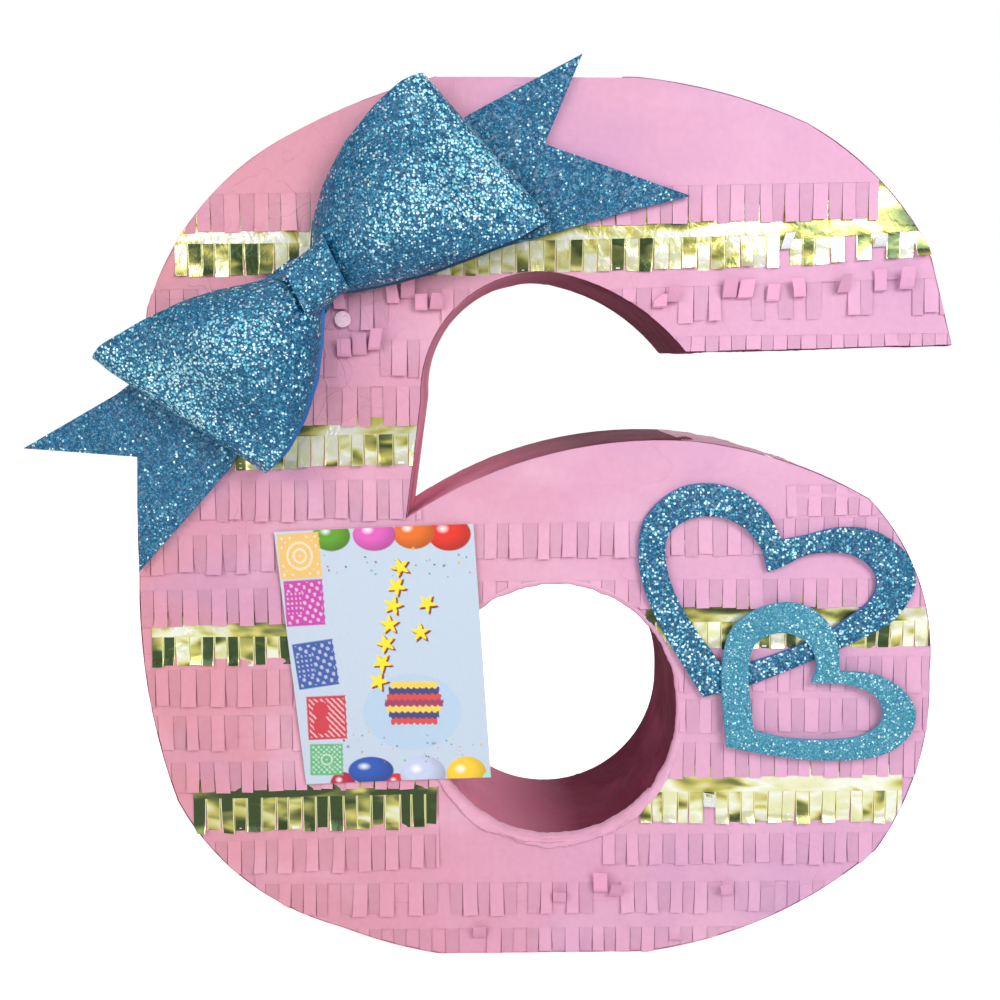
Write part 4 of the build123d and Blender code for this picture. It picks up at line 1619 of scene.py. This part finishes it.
@dataclass
class FoamHearts:
    """Two open hearts cut from glitter foam."""

    shop: Workshop
    foam: float = 2.5
    soft_edge: float = 0.35
    large_front: float = -55.1
    small_front: float = -57.9

    def build(self) -> None:
        """Makes and mounts both hearts."""
        self.heart("large_heart", LARGE_HEART, self.large_front, ["blue_glitter", "periwinkle_foam"], -0.12)
        self.heart("small_heart", SMALL_HEART, self.small_front, ["light_glitter", "light_foam_edge"], 0.0)

    @staticmethod
    def ring(*halves: Sequence[Point]) -> np.ndarray:
        """Joins two halves of a heart's edge into one line of evenly spaced points."""
        return np.vstack([evenly(spline(half, 2), 70)[:-1] for half in halves])

    def heart(self, node: str, outline: HeartOutline, front: float, finishes: list[str], level: float) -> None:
        """Cuts one heart.

        Args:
            node: the CAD heart.
            outline: its edges.
            front: where its glitter face lies.
            finishes: those of the face and of the cut edge.
            level: how much thicker its flecks lie than its finish has them.
        """
        outer = self.ring(outline.outer_first, outline.outer_second)
        inner = self.ring(outline.inner_first, outline.inner_second)
        s, t = self.soft_edge, self.foam
        width = np.linalg.norm(inner - outer, axis=1)
        rows = []
        for o, n, w in zip(outer, inner, width):
            stations = [(0.0, t), (0.0, s), (0.35 * s / w, 0.3 * s), (s / w, 0.0)]
            stations += [(k, 0.0) for k in (0.25, 0.5, 0.75)]
            stations += [(1 - s / w, 0.0), (1 - 0.35 * s / w, 0.3 * s), (1.0, s), (1.0, t), (0.0, t)]
            points = [(o + (n - o) * k, front + back) for k, back in stations]
            rows.append([(flat[0], y, flat[1]) for flat, y in points])
        ring = lattice(np.array(rows), closed=True)
        bmesh.ops.remove_doubles(ring, verts=ring.verts, dist=SAME)
        bmesh.ops.recalc_face_normals(ring, faces=ring.faces)
        shade_faces(ring, cloud_shades(ring, level, 0.2, 2))
        for face in ring.faces:
            face.material_index = 0 if face.normal.y < -0.5 else 1
        slot = "glitter_foam_light" if finishes[0] == "light_glitter" else "glitter_foam"
        self.shop.mount(f"{node}_ring", ring, finishes, slot, [node], crisp=50)


# ---------------------------------------------------------------- printed card
class Lace(Enum):
    """How the holes of a cut-paper square are laid out."""

    RINGS = "rings"
    PANES = "panes"
    STRIPES = "stripes"
    LATTICE = "lattice"


BALLOONS = (  # middle, half sizes and colour
    (-121.5, 253.5, 11.0, 9.0, srgb(96, 160, 36)), (-54.0, 254.5, 12.5, 10.0, srgb(226, 48, 30)),
    (-74.5, 255.0, 12.0, 9.5, srgb(232, 112, 30)), (-97.0, 254.0, 12.5, 9.5, srgb(224, 96, 186)),
    (-117.0, 107.0, 7.5, 7.0, srgb(186, 18, 66)), (-85.5, 107.0, 6.5, 6.0, srgb(214, 40, 48)),
    (-100.5, 114.5, 13.5, 8.5, srgb(38, 84, 176)), (-70.0, 112.0, 13.5, 11.5, srgb(196, 206, 232)),
    (-44.5, 112.0, 12.0, 11.0, srgb(246, 204, 48)),
)
LACES = (  # middle, half sizes, lean in degrees, colour and holes
    (-139.6, 242.0, 12.2, 13.4, 4, srgb(236, 190, 104), Lace.RINGS),
    (-137.3, 214.6, 11.4, 13.6, 3, srgb(196, 44, 160), Lace.PANES),
    (-131.5, 178.4, 12.0, 13.8, 8, srgb(34, 76, 160), Lace.PANES),
    (-125.6, 146.6, 11.6, 13.2, 2, srgb(204, 24, 48), Lace.STRIPES),
    (-126.2, 121.4, 9.8, 9.6, 0, srgb(90, 176, 116), Lace.LATTICE),
)
STARS = (  # middle, size, turn in radians, and how far below it its shadow lies
    *((-95.5 + 2.2 * n, 168.0 + 11.2 * n, 6.0, 0.3 * n, 0.8) for n in range(7)),
    (-71.0, 197.0, 5.8, 0.9, 1.0), (-67.0, 214.0, 5.8, 0.2, 1.0),
)


class CardPrint:
    """The card's picture, drawn from plain shapes: balloons, cut-paper squares, confetti and streamers."""

    def __init__(self, x: np.ndarray, z: np.ndarray) -> None:
        """Starts with the pale blue ground.

        Args:
            x: places across the card.
            z: places up the card.
        """
        self.x, self.z = x, z
        self.ink = np.zeros(x.shape + (3,))
        ground, corner = np.array(srgb(194, 207, 222)[:3]), np.array(srgb(190, 208, 226)[:3])
        fade = np.clip((x + 150) / 110, 0, 1)[..., None]
        self.ink[:] = ground * (1 - 0.5 * fade) + corner * 0.5 * fade

    def fill(self, where: np.ndarray, colour: Colour | np.ndarray) -> None:
        """Inks every place.

        Args:
            where: share of each place that is covered, from 0 to 1.
            colour: the ink.
        """
        ink = np.array(colour)[..., :3]
        share = np.clip(where, 0, 1)[..., None]
        self.ink = self.ink * (1 - share) + ink * share

    def disc(
        self, x: float, z: float, wide: float, high: float, colour: Colour, soft: float = 0.4
    ) -> np.ndarray:
        """Inks an ellipse.

        Args:
            x: its middle.
            z: its middle.
            wide: half its width.
            high: half its height.
            colour: its ink.
            soft: width of its soft edge.

        Returns:
            Its cover at each place.
        """
        away = np.hypot((self.x - x) / wide, (self.z - z) / high)
        cover = np.clip((1 - away) * min(wide, high) / soft, 0, 1)
        self.fill(cover, colour)
        return cover

    def balloon(self, x: float, z: float, wide: float, high: float, colour: Colour) -> None:
        """Inks a shaded balloon with a bright spot.

        Args:
            x: its middle.
            z: its middle.
            wide: half its width.
            high: half its height.
            colour: its rubber.
        """
        deep = tuple(0.45 * c for c in colour[:3]) + (1.0,)
        cover = self.disc(x, z, wide, high, colour)
        u, v = (self.x - x) / wide, (self.z - z) / high
        shadow = np.clip(np.hypot(u + 0.25, v - 0.25) - 0.55, 0, 1)
        self.fill(cover * shadow * 1.1, deep)
        self.fill(cover * np.clip((u + v) * 0.5, 0, 0.1), colour)
        shine = np.clip(1 - np.hypot((u + 0.3) / 0.32, (v - 0.3) / 0.3), 0, 1)
        self.fill(cover * shine * 0.9, WHITE)

    def lace(
        self, x: float, z: float, half: float, high: float, lean: float, colour: Colour, holes_as: Lace
    ) -> None:
        """Inks a cut-paper square.

        Args:
            x: its middle.
            z: its middle.
            half: half its width.
            high: half its height.
            lean: its turn in degrees.
            colour: its paper.
            holes_as: how its holes are laid out.
        """
        a = math.radians(lean)
        u = ((self.x - x) * math.cos(a) + (self.z - z) * math.sin(a)) / half
        v = (-(self.x - x) * math.sin(a) + (self.z - z) * math.cos(a)) / high
        scallop = 0.06 * np.abs(np.sin(v * 3 * math.pi))
        reach = np.maximum(np.abs(u), np.abs(v))
        inside = np.clip((1 - reach) * half / 0.4, 0, 1) * (u < 1 - scallop)
        radius = np.hypot(u, v)
        if holes_as is Lace.RINGS:
            holes = (np.cos(radius * 22) > 0.45) & (radius < 0.72)
            holes |= (np.cos(u * 16) * np.cos(v * 16) > 0.5) & (radius > 0.85)
        elif holes_as is Lace.PANES:
            window = (u < -0.1) & (np.abs(v) < 0.5)
            holes = (np.cos(u * 30) > 0.2) & (np.cos(v * 30) > 0.2) & window
            holes |= (np.cos(u * 15 + 4 * v) * np.cos(v * 14 - 3 * u) > 0.35) & ~window
        elif holes_as is Lace.STRIPES:
            holes = (np.cos((u + v) * 22) > 0.3) & (np.hypot(u + 0.3, np.abs(v) - 0.35) > 0.4)
        else:
            holes = (np.cos(u * 20) * np.cos(v * 20) > 0.2) & (radius > 0.45)
            holes |= (np.cos(radius * 20) > 0.3) & (radius <= 0.45)
        self.fill(inside * 0.95, colour)
        pale = tuple(min(1.0, 0.35 * c + 0.6) for c in colour[:3]) + (1.0,)
        self.fill(inside * holes * (reach <= 0.88) * 0.75, pale)

    def star(self, x: float, z: float, size: float, turn: float, colour: Colour) -> None:
        """Inks a five-pointed star.

        Args:
            x: its middle.
            z: its middle.
            size: reach of its points.
            turn: its turn in radians.
            colour: its ink.
        """
        angle = np.arctan2(self.z - z, self.x - x) + turn
        sector = np.abs((angle % (2 * math.pi / 5)) - math.pi / 5) / (math.pi / 5)
        reach = size * (0.42 + 0.58 * sector**1.6)
        self.fill(np.clip((reach - np.hypot(self.x - x, self.z - z)) / 0.4, 0, 1), colour)

    def draw(self) -> np.ndarray:
        """Draws the whole picture.

        Returns:
            The ink at each place, as red, green, blue and cover.
        """
        self.disc(-76.0, 149.5, 29, 23, srgb(180, 204, 226), 0.6)
        strips = (srgb(216, 58, 44), srgb(44, 46, 120), srgb(246, 206, 70), srgb(150, 36, 90))
        tooth = 1.2 * np.abs(np.sin((self.x + 75) * 0.9))
        for row in range(7):
            across = np.abs(self.x + 75) < 17 - abs(row - 3) * 1.2
            up = np.abs(self.z - (145 + row * 3.6) + tooth) < 1.9
            self.fill((across & up) * 0.95, strips[row % len(strips)])
        for x, z, size, turn, drop in STARS:
            self.star(x + 1.0, z - drop, size + 0.4, turn, srgb(122, 24, 24))
            self.star(x, z, size, turn, srgb(250, 226, 40))
        for balloon in BALLOONS:
            self.balloon(*balloon)
        self.disc(-30.5, 109.0, 5, 5.5, srgb(168, 220, 206))
        for lace in LACES:
            self.lace(*lace)
        self.confetti()
        return np.concatenate([self.ink, np.ones(self.x.shape + (1,))], axis=-1)

    def confetti(self) -> None:
        """Sprinkles dots and stars in two bands."""
        luck = random.Random(12)
        colours = (
            srgb(30, 50, 96), srgb(210, 60, 90), srgb(60, 160, 190), srgb(90, 90, 110), srgb(232, 180, 60)
        )
        for number in range(64):
            high = number % 2 == 0
            x, z = luck.uniform(-126, -34), luck.gauss(236, 5) if high else luck.gauss(129, 5)
            colour = luck.choice(colours)
            if luck.random() < 0.3:
                self.star(x, z, luck.uniform(0.9, 1.5), luck.random(), colour)
            else:
                self.disc(x, z, luck.uniform(0.4, 0.8), luck.uniform(0.4, 0.8), colour, 0.3)


@dataclass
class PartyCard:
    """Printed card glued over the fringe, bowed a little off the face."""

    shop: Workshop
    corners: tuple[Point, ...] = ((-154.0, 255.9), (-40.2, 260.4), (-30.3, 110.3), (-138.4, 106.6))
    cell: float = 0.46
    front: float = -52.95
    thickness: float = 0.3

    def build(self) -> None:
        """Makes and mounts the card."""
        columns, rows = round(111 / self.cell), round(150 / self.cell)
        u = np.linspace(0, 1, columns)[None, :]
        v = np.linspace(0, 1, rows)[:, None]
        a, b, c, d = (np.array(p) for p in self.corners)
        flat = (
            a * ((1 - u) * (1 - v))[..., None] + b * (u * (1 - v))[..., None]
            + c * (u * v)[..., None] + d * ((1 - u) * v)[..., None]
        )
        curl = 7.2 * np.clip(v - 0.7, 0, 1) ** 2 * u
        bow = 0.7 * (2 * u - 1) ** 2 + curl
        grid = np.stack([flat[..., 0], self.front - bow, flat[..., 1]], axis=-1)
        sheet = lattice(grid)
        sheet.normal_update()
        if next(iter(sheet.faces)).normal.y > 0:
            bmesh.ops.reverse_faces(sheet, faces=sheet.faces)
        thicken(sheet, self.thickness, back=1, rim=1)
        finishes = ["printed_card", "card_stock"]
        card = self.shop.mount("party_card_sheet", sheet, finishes, "printed_card", ["party_card"], crisp=60)
        ink = CardPrint(flat[..., 0], flat[..., 1]).draw().reshape(-1, 4)
        bare = np.tile([0.85, 0.86, 0.88, 1.0], (len(card.data.vertices) - len(ink), 1))
        layer = card.data.color_attributes.new("print", "FLOAT_COLOR", "POINT")
        layer.data.foreach_set("color", np.vstack([ink, bare]).astype(np.float32).ravel())


# ---------------------------------------------------------------- stage
@dataclass
class Studio:
    """Pale floor, soft lights and the camera."""

    eye: Place = (-0.0391, -0.740, 0.3562)
    down: float = 83.17
    turn: float = -1.18
    lens: float = 43.6
    aim: Place = (0, 0, 0.26)
    surroundings: float = 0.26  # light of the sky on the pinata, where the camera sees 1
    floor_glow: float = 0.82  # light of the floor's own, which only the camera sees
    floor_half: float = 12.0
    floor_gap: float = 0.0002  # between the floor and the pinata's foot

    def build(self) -> None:
        """Sets the stage."""
        self.floor()
        self.lights()
        view = bpy.data.objects.new("camera", bpy.data.cameras.new("camera"))
        view.location = self.eye
        view.rotation_euler = (math.radians(self.down), 0, math.radians(self.turn))
        view.data.lens = self.lens
        view.data.clip_start = 0.01
        bpy.context.scene.collection.objects.link(view)
        bpy.context.scene.camera = view

    def floor(self) -> None:
        """Lays a wide pale floor."""
        sheet = bmesh.new()
        bmesh.ops.create_grid(sheet, x_segments=8, y_segments=8, size=self.floor_half)
        mesh = bpy.data.meshes.new("floor")
        sheet.to_mesh(mesh)
        sheet.free()
        board = Board("floor_paper", Roughness=0.9)
        mottle = board.noise(board.place(), 30, 3)
        board.set("Base Color", board.mix(mottle, (0.82, 0.82, 0.82, 1), (0.86, 0.86, 0.86, 1)))
        seen = board.add("ShaderNodeLightPath").outputs["Is Camera Ray"]
        board.set("Emission Color", board.ramp(seen, (0.0, (0, 0, 0, 1)), (1.0, (1, 1, 1, 1))))
        board.shader.inputs["Emission Strength"].default_value = self.floor_glow
        mesh.materials.append(board.material)
        floor = bpy.data.objects.new("floor", mesh)
        floor.location.z = -self.floor_gap
        bpy.context.scene.collection.objects.link(floor)

    def lights(self) -> None:
        """Hangs the soft boxes and lights the surroundings."""
        world = bpy.data.worlds.new("studio")
        bpy.context.scene.world = world
        world.use_nodes = True
        tree = world.node_tree
        sky = tree.nodes["Background"]
        sky.inputs[0].default_value = WHITE
        ray = tree.nodes.new("ShaderNodeLightPath")
        level = tree.nodes.new("ShaderNodeMapRange")
        level.inputs["To Min"].default_value = self.surroundings
        level.inputs["To Max"].default_value = 1.0
        tree.links.new(ray.outputs["Is Camera Ray"], level.inputs["Value"])
        tree.links.new(level.outputs[0], sky.inputs[1])
        self.soft_box("key", (0.8, -1.35, 1.0), 0.8, 17)
        self.soft_box("fill", (-1.1, -1.4, 0.8), 1.2, 13.5)
        self.soft_box("top", (-0.1, -0.1, 1.9), 1.0, 4)
        self.soft_box("rear", (0.5, 1.6, 1.2), 1.4, 14)
        bpy.context.scene.view_settings.view_transform = "Standard"

    def soft_box(self, name: str, place: Place, size: float, power: float) -> None:
        """Hangs one square light that looks at the pinata's middle.

        Args:
            name: the light's name.
            place: where it hangs.
            size: its side.
            power: its watts.
        """
        light = bpy.data.lights.new(name, "AREA")
        light.shape, light.size, light.energy = "SQUARE", size, power
        lamp = bpy.data.objects.new(name, light)
        lamp.location = place
        lamp.rotation_euler = (Vector(self.aim) - Vector(place)).to_track_quat("-Z", "Y").to_euler()
        bpy.context.scene.collection.objects.link(lamp)


def make_finishes() -> dict[str, bpy.types.Material]:
    """Makes every finish.

    Returns:
        The materials by name.
    """
    deep, body, fleck = srgb(0, 54, 90), srgb(16, 112, 156), srgb(104, 204, 228)
    makers = (
        CrepePaper("pink_crepe"),
        CrepePaper("crepe_under", warm=srgb(222, 146, 168), cool=srgb(228, 162, 198)),
        # Painted shade: the same crepe made a little deeper for the wrapped sides; the back, door and top take it
        # too.
        CrepePaper("wrap_paper", warm=srgb(208, 132, 150), cool=srgb(212, 140, 172), fold_depth=1.2),
        CrepePaper(
            # Painted shade: the recess paper turns from pink at the left to dark maroon at the right, with darkened
            # clouds and patches.
            "painted_shade_recess_paper", warm=srgb(228, 142, 170), cool=srgb(112, 34, 62), cloud=srgb(126, 48, 80),
            pale=srgb(168, 78, 110), painted_light_sweep=(-0.055, 0.025), fold_depth=1.2, gloss=0.08,
        ),
        GoldFoil("gold_foil"),
        PlainFoam("foil_back", srgb(236, 238, 240), srgb(210, 214, 220)),
        GlitterFoam("blue_glitter", deep, body, fleck),
        GlitterFoam(
            "light_glitter", srgb(30, 110, 142), srgb(66, 156, 182), srgb(150, 220, 230), pitch=1.1, cover=0.24
        ),
        PlainFoam("blue_foam", srgb(36, 122, 196), srgb(26, 100, 170)),
        # Painted shade: a darker foam for the upper loop's cut edge.
        PlainFoam("painted_shade_blue_foam", srgb(24, 82, 122), srgb(18, 66, 104)),
        PlainFoam("pale_blue_foam", srgb(70, 160, 204), srgb(48, 132, 180)),
        PlainFoam("periwinkle_foam", srgb(78, 116, 196), srgb(54, 92, 170)),
        PlainFoam("light_foam_edge", srgb(92, 168, 204), srgb(66, 140, 180)),
        PrintedCard("printed_card"),
        PlainFoam("card_stock", srgb(240, 240, 242), srgb(226, 226, 230)),
        Cardboard("corrugated_cardboard"),
        MaskingTape("masking_tape"),
        WovenRibbon("pull_ribbon"),
        HotGlue("hot_glue"),
    )
    return {maker.name: maker.make() for maker in makers}


def dress_frame(shop: Workshop) -> None:
    """Gives the CAD nodes that stay in sight their finishes.

    Args:
        shop: the workshop that holds the nodes.
    """
    walls = [n for n in shop.nodes if n.endswith("_wall")]
    for node in walls + ["front_panel", "back_panel", "hanger_plate", "fill_door"]:
        shop.dress(node, "corrugated_cardboard")
    shop.dress("front_paper", "pink_crepe")
    shop.dress("top_paper", "wrap_paper")
    shop.dress("glue_dabs", "hot_glue")


def main() -> None:
    """Builds the dressed pinata on its frame."""
    logging.basicConfig(level=logging.INFO, format="%(name)s %(message)s")
    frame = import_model()
    shop = Workshop(frame["nodes"], make_finishes())
    pattern = FacePattern(frame["nodes"]["front_paper"], Side.FRONT)
    rims = pattern.rims()
    outer, inner = Edge(rims[0], 2.6), Edge(rims[1], 2.2)
    Studio().build()
    dress_frame(shop)
    FringeCoat(shop, pattern).build()
    EdgeWrap(shop, outer, inner).build()
    BackCover(shop).build()
    FoamBow(shop).build()
    FoamHearts(shop).build()
    PartyCard(shop).build()
    log.info("%d pieces mounted", len(shop.mounted))


if __name__ == "__main__":
    main()
